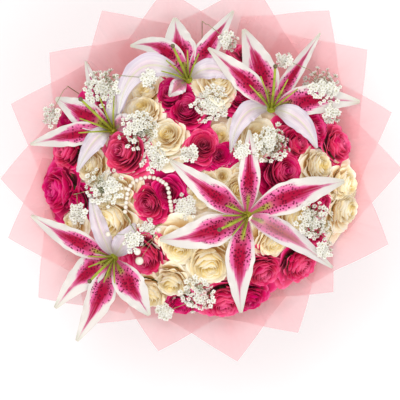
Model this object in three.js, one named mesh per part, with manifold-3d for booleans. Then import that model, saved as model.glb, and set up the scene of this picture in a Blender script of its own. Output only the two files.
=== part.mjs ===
// A round hand-tied bouquet: roses, lilies and baby's breath over a pleated collar of pointed film sheets.
// Millimetres, +Z up. It stands on its cut stem ends, with the origin on the ground in the middle of them,
// and the flowers face up. Every bloom has its place on one dome, and every stem runs from the tie to its
// bloom along the same fan, so no two stems cross above the tie, nor in the spiral below it.

import * as THREE from "three";
import { mergeVertices } from "three/addons/utils/BufferGeometryUtils.js";
import Module from "manifold-3d";

const wasm = await Module();
wasm.setup();

// ---- driving dimensions ------------------------------------------------------------------------------
const SEAT_GAP = 0.3; // between a bloom and the stem under it, and between other touching pieces
const DOME_TOP = 385; // height of the rose centres in the middle of the dome
const DOME_FALL = 0.0023; // the dome drops by this times the square of the distance from its axis
const DOME_RADIUS = 165;
const BLOOM_LEAN = 1.6; // a bloom leans outwards by this times the slope angle of the dome under it

const TIE_BOTTOM = 103; // the core of the stem bundle, inside the tie
const TIE_TOP = 124;
const TIE_RADIUS = 27.3;
const TIE_WAIST = 112; // height where the spiral of stems is narrowest
const STEM_SPREAD = 24; // radius of the fan of stems where they leave the core
const SPIRAL_RATE = 0.02176; // sideways run of a stem below the waist, for each mm down and mm of radius
const STEM_TOP_RADIUS = 2.4;
const STEM_NECK_RADIUS = 1.9;
const STEM_FOOT_RADIUS = 3.0;
const STEM_NECK = 12; // straight length of stem under a bloom, along the bloom's own axis

const COLLAR_NECK_RADIUS = 29;
const COLLAR_NECK_BOTTOM = 98;
const COLLAR_NECK_TOP = 121;
const COLLAR_BEND_RADIUS = 178; // the cone of film bends flatter from here outwards
const COLLAR_CONE_SLOPE = 1.216;
const COLLAR_RIM_SLOPE = 0.5;
const COLLAR_THICKNESS = 1.1; // the stack of film sheets, thicker than life
const COLLAR_NOTCH = 0.885; // radius of the notch between two corners, as a share of theirs
const COLLAR_LAP = 2.0; // half the step where one sheet lies over the next
const COLLAR_STEP = 0.8; // degrees from the middle of that step to either side of it
const COLLAR_FOLD = 3.0; // how far each sheet bellies outwards along its middle

const TEPAL_THICKNESS = 0.9;
const TEPAL_HALF_WIDTH = 13.5;
const THROAT_RADIUS = 5;
const LILY_COLUMN = 9; // the room round a lily's throat that the roses leave free

// The corners of the film collar, as distance from the axis and angle from +X.
const COLLAR_CORNERS = [
  [221, 1], [220, 17.4], [227, 36.4], [227, 51.6], [216, 74.2], [206, 101.2],
  [209, 121.5], [213, 141.7], [222, 160.3], [221, 181.8], [224, 198.8], [226, 217.6],
  [209, 233.2], [203, 256.6], [212, 280.9], [207, 301.2], [197, 317.9], [221, 339],
];

// Each node is one rose, or a few of a colour pressed into each other's petals: x, y, radius, sink.
const PINK_ROSES = [
  [[-84, 21, 22, 0]],
  [[-32, 84, 22, 0], [-9, 59, 20, 0]],
  [[3, 28, 22, 0], [36, 10, 20, 4]],
  [[-140, 53, 19, 0], [-148, 21, 20, 0]],
  [[-155, -20, 22, 0], [-133, -36, 17, 0]],
  [[-56, -34, 22, 0], [-28, -19, 18, 0]],
  [[-61, -92, 19, 0]],
  [[-22, -146, 16, 0]],
  [[25, -141, 19, 0], [53, -138, 15, 0]],
  [[67, -108, 20, 0]],
  [[109, -100, 17, 0], [129, -80, 13, 4]],
  [[131, -34, 17, 0]],
  [[89, 1, 19, 0]],
  [[150, 30, 20, 0]],
  [[122, 46, 17, 0], [107, 32, 17, 4]],
  [[43, 84, 12, 6], [54, 106, 13, 6]],
  [[51, 132, 14, 0]],
];
const WHITE_ROSES = [
  [[-62, 66, 19, 0], [-59, 97, 18, 4]],
  [[-36, 40, 20, 0]],
  [[-120, 7, 19, 0]],
  [[-142, -56, 14, 0]],
  [[-88, -22, 22, 0], [-99, -59, 22, 0]],
  [[-32, -120, 24, 0], [-58, -133, 18, 0]],
  [[-23, -81, 20, 0], [13, -99, 25, 0]],
  [[78, -76, 17, 0]],
  [[101, -46, 18, 0]],
  [[158, -40, 22, 0], [157, -6, 17, 0]],
  [[128, 7, 21, 0]],
  [[23, 43, 15, 14]],
  [[18, 97, 23, 0], [34, 125, 16, 0]],
  [[62, 35, 17, 0]],
  [[42, -20, 17, 8], [19, 0, 18, 8], [-4, -20, 15, 6], [-20, -44, 15, 6]],
];

// Each lily: its throat, the plan point where its pistil ends, and its tepals as middle and tip in plan,
// width as a share of the widest, and how many degrees it rolls its left edge up.
const LILIES = [
  {
    throat: [-97, -95], pistil: [-120, -118],
    tepals: [
      [-144, -73, -188, -48, 0.75, -20], [-128, -113, -161, -150, 0.9, 8], [-113, -141, -137, -186, 0.85, 0],
      [-75, -128, -57, -158, 0.95, 15], [-111, -58, -121, -24, 0.6, 35], [-83, -75, -72, -56, 0.7, -25],
    ],
  },
  {
    throat: [-97, 46], pistil: [-129, 77],
    tepals: [
      [-114, 85, -128, 123, 0.55, 30], [-131, 65, -161, 82, 0.85, -12], [-144, 40, -189, 31, 0.7, 0],
      [-117, 32, -136, 0, 0.65, 25], [-87, 88, -56, 128, 0.65, -30], [-82, 53, -67, 56, 0.6, 0],
    ],
  },
  {
    throat: [-15, 102], pistil: [-30, 134],
    tepals: [
      [-24, 139, -29, 171, 0.95, 0], [-42, 134, -78, 139, 0.75, 20], [11, 140, 36, 179, 0.7, -20],
      [-65, 112, -90, 63, 0.75, 0], [14, 112, 39, 97, 0.65, -15], [-26, 91, -35, 82, 0.5, 0],
    ],
  },
  {
    throat: [77, 70], pistil: [80, 112],
    tepals: [
      [63, 114, 47, 158, 1, 0], [103, 110, 132, 154, 0.6, -35], [125, 79, 176, 78, 0.9, 8],
      [43, 103, 8, 135, 0.75, -15], [47, 61, 32, 23, 0.65, 20], [108, 55, 127, 26, 0.7, -20],
    ],
  },
  {
    throat: [50, -48], pistil: [21, -62],
    tepals: [
      [52, 0, 52, 45, 0.65, 10], [105, -24, 158, -10, 0.95, 8], [92, -68, 146, -106, 0.75, -25],
      [42, -102, 44, -155, 0.85, 0], [2, -67, -45, -74, 0.95, 0], [8, -20, -34, 13, 0.8, 12],
    ],
  },
];

// Each spray of baby's breath: the place of its head, and the number of its florets.
const SPRAYS = [
  [-108, 92, 10], [-67, 46, 10], [-51, 15, 8], [-106, -17, 10], [10, 74, 10], [30, 143, 5], [134, 95, 10],
  [76, 30, 10], [-4, -135, 10], [125, -55, 10], [-166, 63, 5], [-73, -75, 5], [-18, -36, 5],
];

// The pearls: a strand that lies round the pink rose in the middle, and larger ones on a wire of their own.
const STRAND_PATH = [
  [-83, -46], [-81, -31], [-79, -20], [-74, -12], [-64, -7], [-56, -6], [-47, -8], [-42, -11], [-37, -15],
  [-35, -22], [-34, -29], [-33, -35], [-32, -44],
];
const STRAND_BEAD = 2.5;
const STRAND_WAIST = 0.9; // radius of the strand between two beads
const PEARL_HEADS = [[-67, -97, 4.6], [-69, -87, 3.8]];

const PINK = 0xd7145f;
const CREAM = 0xf2e8cf;
const LILY_WHITE = 0xf6e6ee;
const LILY_GREEN = 0x9aa84b;
const FLORET_WHITE = 0xf8f7f2;
const PEARL = 0xf1e9dc;
const FILM_PINK = 0xf3b9bd;
const RIBBON_PINK = 0xe58fa0;
const STEM_GREEN = 0x4f7a35;

// ---- solids from points ------------------------------------------------------------------------------
const vec = (x, y, z) => new THREE.Vector3(x, y, z);
const UP = vec(0, 0, 1);
const TAU = 2 * Math.PI;

// One closed body from its corners and triangles, turned right side out if it came inside out.
function body(points, triangles) {
  let volume = 0;
  for (const [a, b, c] of triangles) volume += points[a].dot(points[b].clone().cross(points[c]));
  const faces = volume < 0 ? triangles.map(([a, b, c]) => [a, c, b]) : triangles;
  return new wasm.Manifold(new wasm.Mesh({
    numProp: 3,
    vertProperties: new Float32Array(points.flatMap((p) => [p.x, p.y, p.z])),
    triVerts: new Uint32Array(faces.flat()),
  }));
}

// The corners and triangles of one of the standard closed shapes, with coinciding corners merged.
function cornersOf(geometry) {
  geometry.deleteAttribute("normal");
  geometry.deleteAttribute("uv");
  const merged = mergeVertices(geometry, 1e-3);
  const place = merged.getAttribute("position");
  const points = [];
  for (let i = 0; i < place.count; i += 1) points.push(new THREE.Vector3().fromBufferAttribute(place, i));
  const index = Array.from(merged.index.array);
  const triangles = [];
  for (let i = 0; i < index.length; i += 3) triangles.push(index.slice(i, i + 3));
  return { points, triangles };
}

function solidOf(geometry) {
  const { points, triangles } = cornersOf(geometry);
  return body(points, triangles);
}

// An upright drum or cone frustum with its middle at a point.
function drum(center, topRadius, bottomRadius, height, sides) {
  const shape = new THREE.CylinderGeometry(topRadius, bottomRadius, height, sides);
  shape.rotateX(Math.PI / 2);
  shape.translate(center.x, center.y, center.z);
  return solidOf(shape);
}

// One body from several that run into each other. Loose scraps of a fraction of a cubic millimetre go.
const SCRAP = 0.01;

function fused(parts) {
  const whole = parts.reduce((sum, part) => sum.add(part));
  const pieces = whole.decompose().filter((piece) => piece.volume() > SCRAP);
  return pieces.length === 1 ? pieces[0] : whole;
}

function geometryOf(solid) {
  const mesh = solid.getMesh();
  const geometry = new THREE.BufferGeometry();
  geometry.setAttribute("position", new THREE.BufferAttribute(mesh.vertProperties, 3));
  geometry.setIndex(new THREE.BufferAttribute(mesh.triVerts, 1));
  return geometry;
}

// The walls between rings of equal count, each ring closed, as triangles over the rings' corners.
function ringWalls(ringCount, sides) {
  const triangles = [];
  for (let i = 0; i < ringCount - 1; i += 1) {
    for (let k = 0; k < sides; k += 1) {
      const a = i * sides + k;
      const b = i * sides + ((k + 1) % sides);
      triangles.push([a, b, b + sides], [a, b + sides, a + sides]);
    }
  }
  return triangles;
}

// A body through rings of corners, closed at each end by a fan of triangles.
function loft(rings) {
  const sides = rings[0].length;
  const triangles = ringWalls(rings.length, sides);
  const last = (rings.length - 1) * sides;
  for (let k = 1; k < sides - 1; k += 1) triangles.push([0, k + 1, k], [last, last + k, last + k + 1]);
  return body(rings.flat(), triangles);
}

// A body through rings, closed by a point at each end.
function spindle(bottom, rings, top) {
  const sides = rings[0].length;
  const triangles = ringWalls(rings.length, sides);
  const last = (rings.length - 1) * sides;
  const low = rings.length * sides;
  for (let k = 0; k < sides; k += 1) {
    const next = (k + 1) % sides;
    triangles.push([low, next, k], [low + 1, last + k, last + next]);
  }
  return body([...rings.flat(), bottom, top], triangles);
}

// A ring of corners round a centre, square to a direction, its first corner towards 'side'.
function ring(center, direction, radius, sides, side) {
  const across = side.clone().addScaledVector(direction, -side.dot(direction)).normalize();
  const over = direction.clone().cross(across);
  return Array.from({ length: sides }, (_, k) => {
    const angle = (TAU * k) / sides;
    return center.clone()
      .addScaledVector(across, radius * Math.cos(angle))
      .addScaledVector(over, radius * Math.sin(angle));
  });
}

// A rod of a few sides along a path, with a radius at each of its points.
function rod(path, radii, sides) {
  const rings = path.map((point, i) => {
    const before = path[Math.max(0, i - 1)];
    const after = path[Math.min(path.length - 1, i + 1)];
    const direction = after.clone().sub(before).normalize();
    const side = Math.abs(direction.z) > 0.8 ? vec(1, 0, 0) : UP;
    return ring(point, direction, radii[i], sides, side);
  });
  return loft(rings);
}

// A sheet of even thickness: a grid of corners, and the same grid moved back along the surface's normals.
// Both faces are split along the same diagonals. A closed sheet joins its last row to its first.
function sheet(rows, thickness, closed = false) {
  const across = rows[0].length;
  const count = rows.length;
  const front = rows.flat();
  const cells = [];
  for (let i = 0; i < (closed ? count : count - 1); i += 1) {
    const next = ((i + 1) % count) * across;
    for (let j = 0; j < across - 1; j += 1) {
      cells.push([i * across + j, next + j, next + j + 1]);
      cells.push([i * across + j, next + j + 1, i * across + j + 1]);
    }
  }
  const normals = front.map(() => vec(0, 0, 0));
  for (const [a, b, c] of cells) {
    const normal = front[b].clone().sub(front[a]).cross(front[c].clone().sub(front[a])).normalize();
    for (const corner of [a, b, c]) normals[corner].add(normal);
  }
  const back = front.map((point, i) => point.clone().addScaledVector(normals[i].normalize(), -thickness));
  const offset = front.length;
  const triangles = [...cells, ...cells.map(([a, b, c]) => [a + offset, c + offset, b + offset])];
  const wall = (a, b) => triangles.push([b, a, a + offset], [b, a + offset, b + offset]);
  for (let i = 0; i < (closed ? count : count - 1); i += 1) {
    const here = i * across;
    const next = ((i + 1) % count) * across;
    wall(here, next);
    wall(next + across - 1, here + across - 1);
  }
  if (!closed) {
    for (let j = 0; j < across - 1; j += 1) {
      wall(j + 1, j);
      wall((count - 1) * across + j, (count - 1) * across + j + 1);
    }
  }
  return body([...front, ...back], triangles);
}

// ---- the dome and what already lies on it ------------------------------------------------------------
const domeHeight = (x, y) => DOME_TOP - DOME_FALL * (x * x + y * y);

function collarHeight(radius) {
  const cone = COLLAR_CONE_SLOPE * (Math.min(radius, COLLAR_BEND_RADIUS) - COLLAR_NECK_RADIUS);
  return COLLAR_NECK_TOP + cone + COLLAR_RIM_SLOPE * Math.max(0, radius - COLLAR_BEND_RADIUS);
}

// The way a bloom faces: out along the slope of the dome, and a little further.
function facing(x, y) {
  const radius = Math.hypot(x, y);
  const lean = BLOOM_LEAN * Math.atan(2 * DOME_FALL * radius);
  const outward = radius > 0 ? vec(x / radius, y / radius, 0) : vec(1, 0, 0);
  return outward.multiplyScalar(Math.sin(lean)).addScaledVector(UP, Math.cos(lean));
}

// Round bumps that stand for everything placed so far: what comes next is laid over them.
const bumps = [];

// The height that a thing of the given reach must clear over a point in plan.
function cover(x, y, reach) {
  let height = Math.max(collarHeight(Math.hypot(x, y)) + COLLAR_FOLD, domeHeight(x, y));
  for (const bump of bumps) {
    const away = Math.max(0, Math.hypot(x - bump.x, y - bump.y) - reach);
    if (away < bump.r) height = Math.max(height, bump.z + Math.sqrt(bump.r * bump.r - away * away));
  }
  return height;
}

// ---- roses -------------------------------------------------------------------------------------------
const LARGE_ROSE = 21; // a bloom of this radius or more has five petals in each ring, a smaller one four
const PAIR_OVERLAP = 0.74; // two fused roses stand no further apart than this share of their radii's sum
const ROSE_FOOT = 0.78; // depth of the flat green end under the bloom, as a share of its radius
// Rings of petals from the foot over each rim into the heart: radius and height at a petal's middle and
// at the notch beside it, as shares of the bloom's radius, and whether the ring is turned by half a petal.
const ROSE_RINGS = [
  [0.2, -ROSE_FOOT, 0.2, -ROSE_FOOT, false],
  [0.93, -0.12, 0.86, -0.16, false],
  [0.965, 0.22, 0.86, 0.0, false],
  [0.73, 0.04, 0.7, 0.0, false],
  [0.72, 0.47, 0.64, 0.26, true],
  [0.48, 0.24, 0.46, 0.2, true],
  [0.43, 0.64, 0.35, 0.46, false],
];
const ROSE_HEART = 0.36;

function roseSolid(rose, turn) {
  const axis = rose.axis;
  const sides = 2 * (rose.r >= LARGE_ROSE ? 5 : 4);
  const at = (angle, radius, height) => ring(
    rose.center.clone().addScaledVector(axis, height * rose.r), axis, radius * rose.r, 1,
    vec(Math.cos(angle), Math.sin(angle), 0).projectOnPlane(axis),
  )[0];
  const rings = ROSE_RINGS.map(([radius, height, notchRadius, notchHeight, turned]) => (
    Array.from({ length: sides }, (_, k) => {
      const middle = (k % 2 === 0) !== turned;
      const angle = turn + (TAU * k) / sides;
      return middle ? at(angle, radius, height) : at(angle, notchRadius, notchHeight);
    })
  ));
  const foot = rose.center.clone().addScaledVector(axis, -ROSE_FOOT * rose.r);
  const heart = rose.center.clone().addScaledVector(axis, ROSE_HEART * rose.r);
  return spindle(foot, rings, heart);
}

function placeRoses(groups) {
  return groups.map((group) => group.map(([x, y, r, sink]) => {
    const axis = facing(x, y);
    const center = vec(x, y, domeHeight(x, y)).addScaledVector(axis, -sink);
    return { x, y, r, wanted: r, axis, center };
  }));
}

// Every rose gives way until it clears its neighbours, apart from the one it is fused with, and then opens
// again as far as the room around it allows.
const ROSE_GROWTH = 1.12;

function giveWay(groups) {
  const roses = groups.flat();
  const throats = LILIES.map(({ throat }) => vec(...throat, domeHeight(...throat)));
  const lilyRoom = ({ center }) => (
    Math.min(...throats.map((throat) => center.distanceTo(throat))) - LILY_COLUMN
  );
  for (const group of groups) {
    const others = roses.filter((other) => !group.includes(other));
    for (const rose of group) {
      const shares = others.map((other) => (
        ((rose.center.distanceTo(other.center) - SEAT_GAP) * rose.wanted) / (rose.wanted + other.wanted)
      ));
      rose.r = Math.min(rose.wanted, lilyRoom(rose), ...shares);
    }
  }
  for (const group of groups) {
    const others = roses.filter((other) => !group.includes(other));
    for (const rose of group) {
      const free = others.map((other) => rose.center.distanceTo(other.center) - other.r - SEAT_GAP);
      rose.r = Math.min(ROSE_GROWTH * rose.wanted, lilyRoom(rose), ...free);
    }
  }
  for (const group of groups) {
    for (let k = 1; k < group.length; k += 1) {
      const [first, second] = [group[k - 1], group[k]];
      const apart = second.center.clone().sub(first.center);
      const wanted = Math.min(apart.length(), PAIR_OVERLAP * (first.r + second.r));
      second.center.copy(first.center).add(apart.setLength(wanted));
    }
  }
  for (const rose of roses) {
    rose.x = rose.center.x;
    rose.y = rose.center.y;
    bumps.push({ x: rose.x, y: rose.y, z: rose.center.z, r: rose.r });
  }
}

// ---- stems -------------------------------------------------------------------------------------------
const footOf = (bloom) => bloom.center.clone().addScaledVector(bloom.axis, -bloom.foot - SEAT_GAP);

// The point of the fan at the top of the core that belongs to a place on the dome.
function fanPoint(x, y, height) {
  const share = STEM_SPREAD / DOME_RADIUS;
  const low = vec(x * share, y * share, TIE_TOP);
  const high = vec(x, y, domeHeight(x, y));
  return low.lerp(high, (height - TIE_TOP) / (high.z - TIE_TOP));
}

function stemPath(bloom) {
  const top = footOf(bloom);
  const neck = top.clone().addScaledVector(bloom.axis, -STEM_NECK);
  const root = fanPoint(bloom.x, bloom.y, TIE_TOP);
  root.z -= STEM_NECK / 2;
  return [root, neck, top];
}

function upperStem(bloom) {
  const [root, neck, top] = stemPath(bloom);
  const side = vec(-bloom.y, bloom.x, 0.001).normalize();
  const bend = neck.clone().sub(root).normalize().add(bloom.axis).normalize();
  return loft([
    ring(root, UP, STEM_NECK_RADIUS, 3, side),
    ring(neck, bend, STEM_TOP_RADIUS, 3, side),
    ring(top, bloom.axis, STEM_TOP_RADIUS, 3, side),
  ]);
}

// The cut stems below the tie stand in rings, and each runs straight and sideways, so they form a spiral.
const STEM_RINGS = [[1, 0], [6, 7], [12, 13.2], [18, 19], [22, 24.3]]; // stems and radius at the waist

function lowerStems() {
  const start = TIE_BOTTOM + 3; // sunk into the core
  return STEM_RINGS.flatMap(([count, radius]) => Array.from({ length: count }, (_, k) => {
    const angle = (TAU * (k + radius / STEM_SPREAD)) / count;
    const waist = vec(radius * Math.cos(angle), radius * Math.sin(angle), 0);
    const aside = vec(-waist.y, waist.x, 0);
    const at = (height) => waist.clone()
      .addScaledVector(aside, SPIRAL_RATE * (TIE_WAIST - height))
      .setZ(height);
    const side = radius > 0 ? waist.clone().normalize() : vec(1, 0, 0);
    return loft([
      ring(at(0), UP, STEM_FOOT_RADIUS, 3, side),
      ring(at(start), UP, STEM_TOP_RADIUS, 3, side),
    ]);
  }));
}

function stemBundle(blooms) {
  const core = drum(vec(0, 0, (TIE_TOP + TIE_BOTTOM) / 2), TIE_RADIUS, TIE_RADIUS, TIE_TOP - TIE_BOTTOM, 18);
  return fused([core, ...lowerStems(), ...blooms.map(upperStem)]);
}

// ---- lilies ------------------------------------------------------------------------------------------
// Stations along a tepal: share of its length, half width as a share, height over the dome, edge lift.
const TEPAL_STATIONS = [
  [0.0, 0.12, -2, 0],
  [0.16, 0.36, 19, 2],
  [0.36, 0.92, 29, 1],
  [0.58, 1.0, 31, -2.5],
  [0.8, 0.66, 26, -1],
  [1.0, 0.1, 17, 0],
];
const TEPAL_WAVE = 1.2; // the margins rise and fall by this from station to station
const TEPAL_CLEAR = 3; // air between a tepal and what it lies over
const TEPAL_RISE = 0.36; // the share of its length over which a tepal rises from the throat
const LIFT_SHARE = 0.3;
const ROLL_DIP = 0.7; // the share of a rolled edge's drop that the tepal rises by
const TEPAL_BUMP = 8; // radius of the bumps that stand for a tepal
const THROAT_DEPTH = 12;

function tepalRows(lily, [middleX, middleY, tipX, tipY, wide, roll]) {
  const [rootX, rootY] = lily.throat;
  const start = new THREE.Vector2(rootX, rootY);
  const tip = new THREE.Vector2(tipX, tipY);
  const middle = new THREE.Vector2(middleX, middleY);
  start.lerp(middle, (0.7 * THROAT_RADIUS) / start.distanceTo(middle));
  const control = middle.clone().multiplyScalar(2).addScaledVector(start, -0.5).addScaledVector(tip, -0.5);
  const curve = new THREE.QuadraticBezierCurve(start, control, tip);
  const base = lily.base.z;
  const spots = TEPAL_STATIONS.map(([share, width, height, edge]) => {
    const point = curve.getPoint(share);
    const radius = point.length();
    const ground = Math.max(domeHeight(point.x, point.y), collarHeight(radius) + COLLAR_FOLD);
    const blend = Math.min(1, share / TEPAL_RISE);
    const z = (1 - blend) * base + blend * ground + height;
    const turn = THREE.MathUtils.degToRad(roll) * Math.min(1, share / TEPAL_RISE);
    return { point, share, edge, half: wide * width * TEPAL_HALF_WIDTH, z, turn };
  });
  // the whole tepal rises, less so near the throat, until it is clear of everything below it
  const halfway = spots.slice(2).map((spot, i) => ({
    point: curve.getPoint((spot.share + spots[i + 1].share) / 2),
    share: (spot.share + spots[i + 1].share) / 2,
    half: (spot.half + spots[i + 1].half) / 2,
    z: (spot.z + spots[i + 1].z) / 2,
    turn: spot.turn,
  }));
  const lift = Math.max(0, ...[...spots.slice(1), ...halfway].map((spot) => {
    const dip = ROLL_DIP * spot.half * Math.abs(Math.sin(spot.turn));
    const need = cover(spot.point.x, spot.point.y, spot.half) + TEPAL_CLEAR + dip - spot.z;
    return need / Math.min(1, spot.share / LIFT_SHARE);
  }));
  return spots.map((spot, i) => {
    const way = curve.getTangent(Math.min(0.999, spot.share));
    const side = vec(-way.y, way.x, 0);
    const z = spot.z + lift * Math.min(1, spot.share / LIFT_SHARE);
    const wave = (i % 2 ? 1 : -1) * TEPAL_WAVE * (spot.share > 0 ? 1 : 0);
    const center = vec(spot.point.x, spot.point.y, z);
    return [-1, 0, 1].map((hand) => center.clone()
      .addScaledVector(side, hand * spot.half * Math.cos(spot.turn))
      .add(vec(0, 0, hand * spot.half * Math.sin(spot.turn) + (hand === 0 ? 0 : spot.edge + hand * wave))));
  });
}

function lilySolids(lily) {
  const middle = lily.base.clone().setZ(lily.base.z + 1 - THROAT_DEPTH / 2);
  const throat = drum(middle, THROAT_RADIUS, THROAT_RADIUS * 0.7, THROAT_DEPTH, 6);
  const petals = lily.tepals.map((tepal) => tepalRows(lily, tepal));
  for (const rows of petals) {
    for (let i = 1; i < rows.length; i += 1) {
      rows[i].forEach((point, j) => {
        for (const spot of [point, point.clone().add(rows[i - 1][j]).multiplyScalar(0.5)]) {
          const z = spot.z + 1.5 - TEPAL_BUMP;
          if (i > 1 || spot === point) bumps.push({ x: spot.x, y: spot.y, z, r: TEPAL_BUMP });
        }
      });
    }
  }
  return fused([throat, ...petals.map((rows) => sheet(rows, TEPAL_THICKNESS))]);
}

// A pistil curves out of the throat: share of its reach, and height at each.
const PISTIL_LENGTHS = [0, 0.3, 1.0];
const PISTIL_HEIGHTS = [0, 38, 48];
const PISTIL_RADII = [1.3, 1.3, 2.8, 1.8]; // the last two are the stigma's
const STIGMA_LENGTH = 4;
const PISTIL_CLEAR = 4;
const PISTIL_FOOT = 3.2; // radius of the ovary at its foot
const FILAMENT_RADII = [0.8, 0.8, 0.6];
const FILAMENTS = 5;
const FILAMENT_SHARE = 0.78; // a filament's reach, as a share of the pistil's
const FILAMENT_FAN = 0.42; // radians between neighbouring filaments

function pistilSolid(lily) {
  const root = lily.base.clone().add(vec(0, 0, 1 + SEAT_GAP));
  const end = vec(...lily.pistil, 0).sub(vec(...lily.throat, 0));
  const path = (reach, turn, lower, offset) => PISTIL_LENGTHS.map((share, i) => {
    const point = end.clone().applyAxisAngle(UP, turn).multiplyScalar(share * reach).add(root);
    point.add(end.clone().applyAxisAngle(UP, 2.2 * turn).setLength(offset));
    point.z += PISTIL_HEIGHTS[i] * lower + 1;
    if (i > 0) point.z = Math.max(point.z, cover(point.x, point.y, 2) + PISTIL_CLEAR);
    return point;
  });
  const style = path(1, 0, 1, 0);
  const last = style[style.length - 1];
  const tip = last.clone().add(last.clone().sub(style[1]).setLength(STIGMA_LENGTH));
  const foot = drum(root.clone().setZ(root.z + 1.5), PISTIL_FOOT, PISTIL_FOOT, 3, 6);
  const parts = [foot, rod([...style, tip], PISTIL_RADII, 4)];
  for (let k = 0; k < FILAMENTS; k += 1) {
    const turn = (k - (FILAMENTS - 1) / 2) * FILAMENT_FAN;
    parts.push(rod(path(FILAMENT_SHARE, turn, 0.8, 1.9), FILAMENT_RADII, 3));
  }
  return fused(parts);
}

// ---- baby's breath and pearls ------------------------------------------------------------------------
const TWIG_RADIUS = 0.8;
const BRANCH_RADIUS = 0.7;
const BRANCH_STEP = 13;
const TWIG_CLEAR = 2.4;
const FLORET_RADIUS = 2.8;
const FLORET_REACH = 9; // the shortest twig of a head, from its hub to the rim of the floret
const FLORET_SCATTER = 5; // twigs are up to this much longer
const FLORET_DEPTH = 4;
const FLORET_CROWN = 1.8;
const FLORET_TWIG = 0.6;
const HEAD_HUB = 2.2;
const HEAD_RADIUS = 13; // the room that a head takes up
const GAP_SEARCH = 34; // how far from a head its stem may come up
let seed = 11;

function random() {
  seed = (seed * 16807) % 2147483647;
  return seed / 2147483647;
}

// How far a straight way from the core to a place on the dome stays off every bloom, stem and wire.
const UNDER_A_TEPAL = 15; // a gap whose cover is this much above the dome lies under something else
const GAP_LIMIT = 172; // gaps further out than this would run into the film
const ways = [];

const wayTo = (x, y) => new THREE.Line3(fanPoint(x, y, TIE_TOP), fanPoint(x, y, domeHeight(x, y) + 15));

function freeRoom(x, y, blooms) {
  const covered = cover(x, y, 2) > domeHeight(x, y) + UNDER_A_TEPAL;
  if (covered || Math.hypot(x, y) > GAP_LIMIT) return 0;
  const way = wayTo(x, y);
  const near = new THREE.Vector3();
  let room = Infinity;
  for (const bloom of blooms) {
    way.closestPointToPoint(bloom.center, true, near);
    room = Math.min(room, near.distanceTo(bloom.center) - bloom.r);
    for (const stretch of bloom.stem) {
      room = Math.min(room, Math.sqrt(way.distanceSqToLine3(stretch)) - STEM_TOP_RADIUS);
    }
  }
  for (const taken of ways) {
    room = Math.min(room, Math.sqrt(way.distanceSqToLine3(taken)) - TWIG_RADIUS);
  }
  return room;
}

// The gap between the blooms that is nearest to a point and wide enough for a wire or a thin stem.
function gapNear(x, y, blooms) {
  const needed = TWIG_RADIUS + 2 * SEAT_GAP;
  let best = null;
  for (let dx = -GAP_SEARCH; dx <= GAP_SEARCH; dx += 2) {
    for (let dy = -GAP_SEARCH; dy <= GAP_SEARCH; dy += 2) {
      const room = Math.min(freeRoom(x + dx, y + dy, blooms), 2 * needed);
      const score = room >= needed ? 100 + room - 0.2 * Math.hypot(dx, dy) : room;
      if (!best || score > best.score) best = { x: x + dx, y: y + dy, score };
    }
  }
  ways.push(wayTo(best.x, best.y));
  return best;
}

// A thin stem that comes up through a gap to a point just over the blooms.
function risingStem(gap, radius) {
  const top = vec(gap.x, gap.y, cover(gap.x, gap.y, radius) + TWIG_CLEAR);
  const low = fanPoint(gap.x, gap.y, TIE_TOP + 2 * SEAT_GAP);
  const high = fanPoint(gap.x, gap.y, Math.max(domeHeight(gap.x, gap.y), top.z - 3));
  return { top, solid: rod([low, high, top.clone().add(vec(0, 0, 0.5))], [radius, radius, radius], 3) };
}

// A branch that runs over the blooms from one point to another, a little above them.
function branch(from, to, radius) {
  const steps = Math.max(1, Math.round(from.distanceTo(to) / BRANCH_STEP));
  const path = Array.from({ length: steps + 1 }, (_, i) => {
    const point = from.clone().lerp(to, i / steps);
    if (i > 0 && i < steps) point.z = Math.max(point.z, cover(point.x, point.y, 2) + TWIG_CLEAR);
    return point;
  });
  return rod(path, path.map(() => radius), 3);
}

// A head of florets: a small many-sided hub, and on each upper face of it a twig that ends in a floret.
function floretHead(x, y, florets) {
  const hub = new THREE.IcosahedronGeometry(HEAD_HUB, 0);
  hub.rotateX(Math.atan(2 / (1 + Math.sqrt(5))));
  hub.rotateX(Math.PI / 2);
  hub.rotateZ(random() * TAU);
  const { points, triangles: faces } = cornersOf(hub);
  const middle = (face) => face.reduce((sum, i) => sum.add(points[i]), vec(0, 0, 0)).divideScalar(3);
  faces.sort((a, b) => middle(b).z - middle(a).z);
  const kept = faces.slice(florets);
  for (const face of faces.slice(0, florets)) {
    const out = middle(face).normalize();
    const reach = FLORET_REACH + FLORET_SCATTER * random();
    const triangleAt = (radius, along) => face.map((i) => (
      points[i].clone().sub(middle(face)).setLength(radius).addScaledVector(out, along)
    ));
    const first = points.length;
    const twig = triangleAt(FLORET_TWIG, reach - FLORET_DEPTH);
    const rim = triangleAt(FLORET_RADIUS, reach);
    points.push(...twig, ...rim, out.clone().multiplyScalar(reach + FLORET_CROWN));
    const loop = [face, [first, first + 1, first + 2], [first + 3, first + 4, first + 5]];
    for (let level = 0; level < 2; level += 1) {
      for (let k = 0; k < 3; k += 1) {
        const next = (k + 1) % 3;
        kept.push([loop[level][k], loop[level][next], loop[level + 1][next]]);
        kept.push([loop[level][k], loop[level + 1][next], loop[level + 1][k]]);
      }
    }
    for (let k = 0; k < 3; k += 1) kept.push([loop[2][k], loop[2][(k + 1) % 3], first + 6]);
  }
  const base = Math.max(...points.map((point) => cover(x + point.x, y + point.y, 1.5) - point.z));
  const center = vec(x, y, base + 1.5);
  const head = body(points.map((point) => point.clone().add(center)), kept);
  return { center, head };
}

function spraySolid([x, y, florets], blooms) {
  const gap = gapNear(x, y, blooms);
  const stem = risingStem(gap, TWIG_RADIUS);
  const { center, head } = floretHead(x, y, florets);
  const twig = branch(stem.top, center, BRANCH_RADIUS);
  bumps.push({ x: center.x, y: center.y, z: center.z, r: HEAD_RADIUS });
  bumps.push({ x: gap.x, y: gap.y, z: stem.top.z - 2, r: 4 });
  return fused([stem.solid, twig, head]);
}

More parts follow.
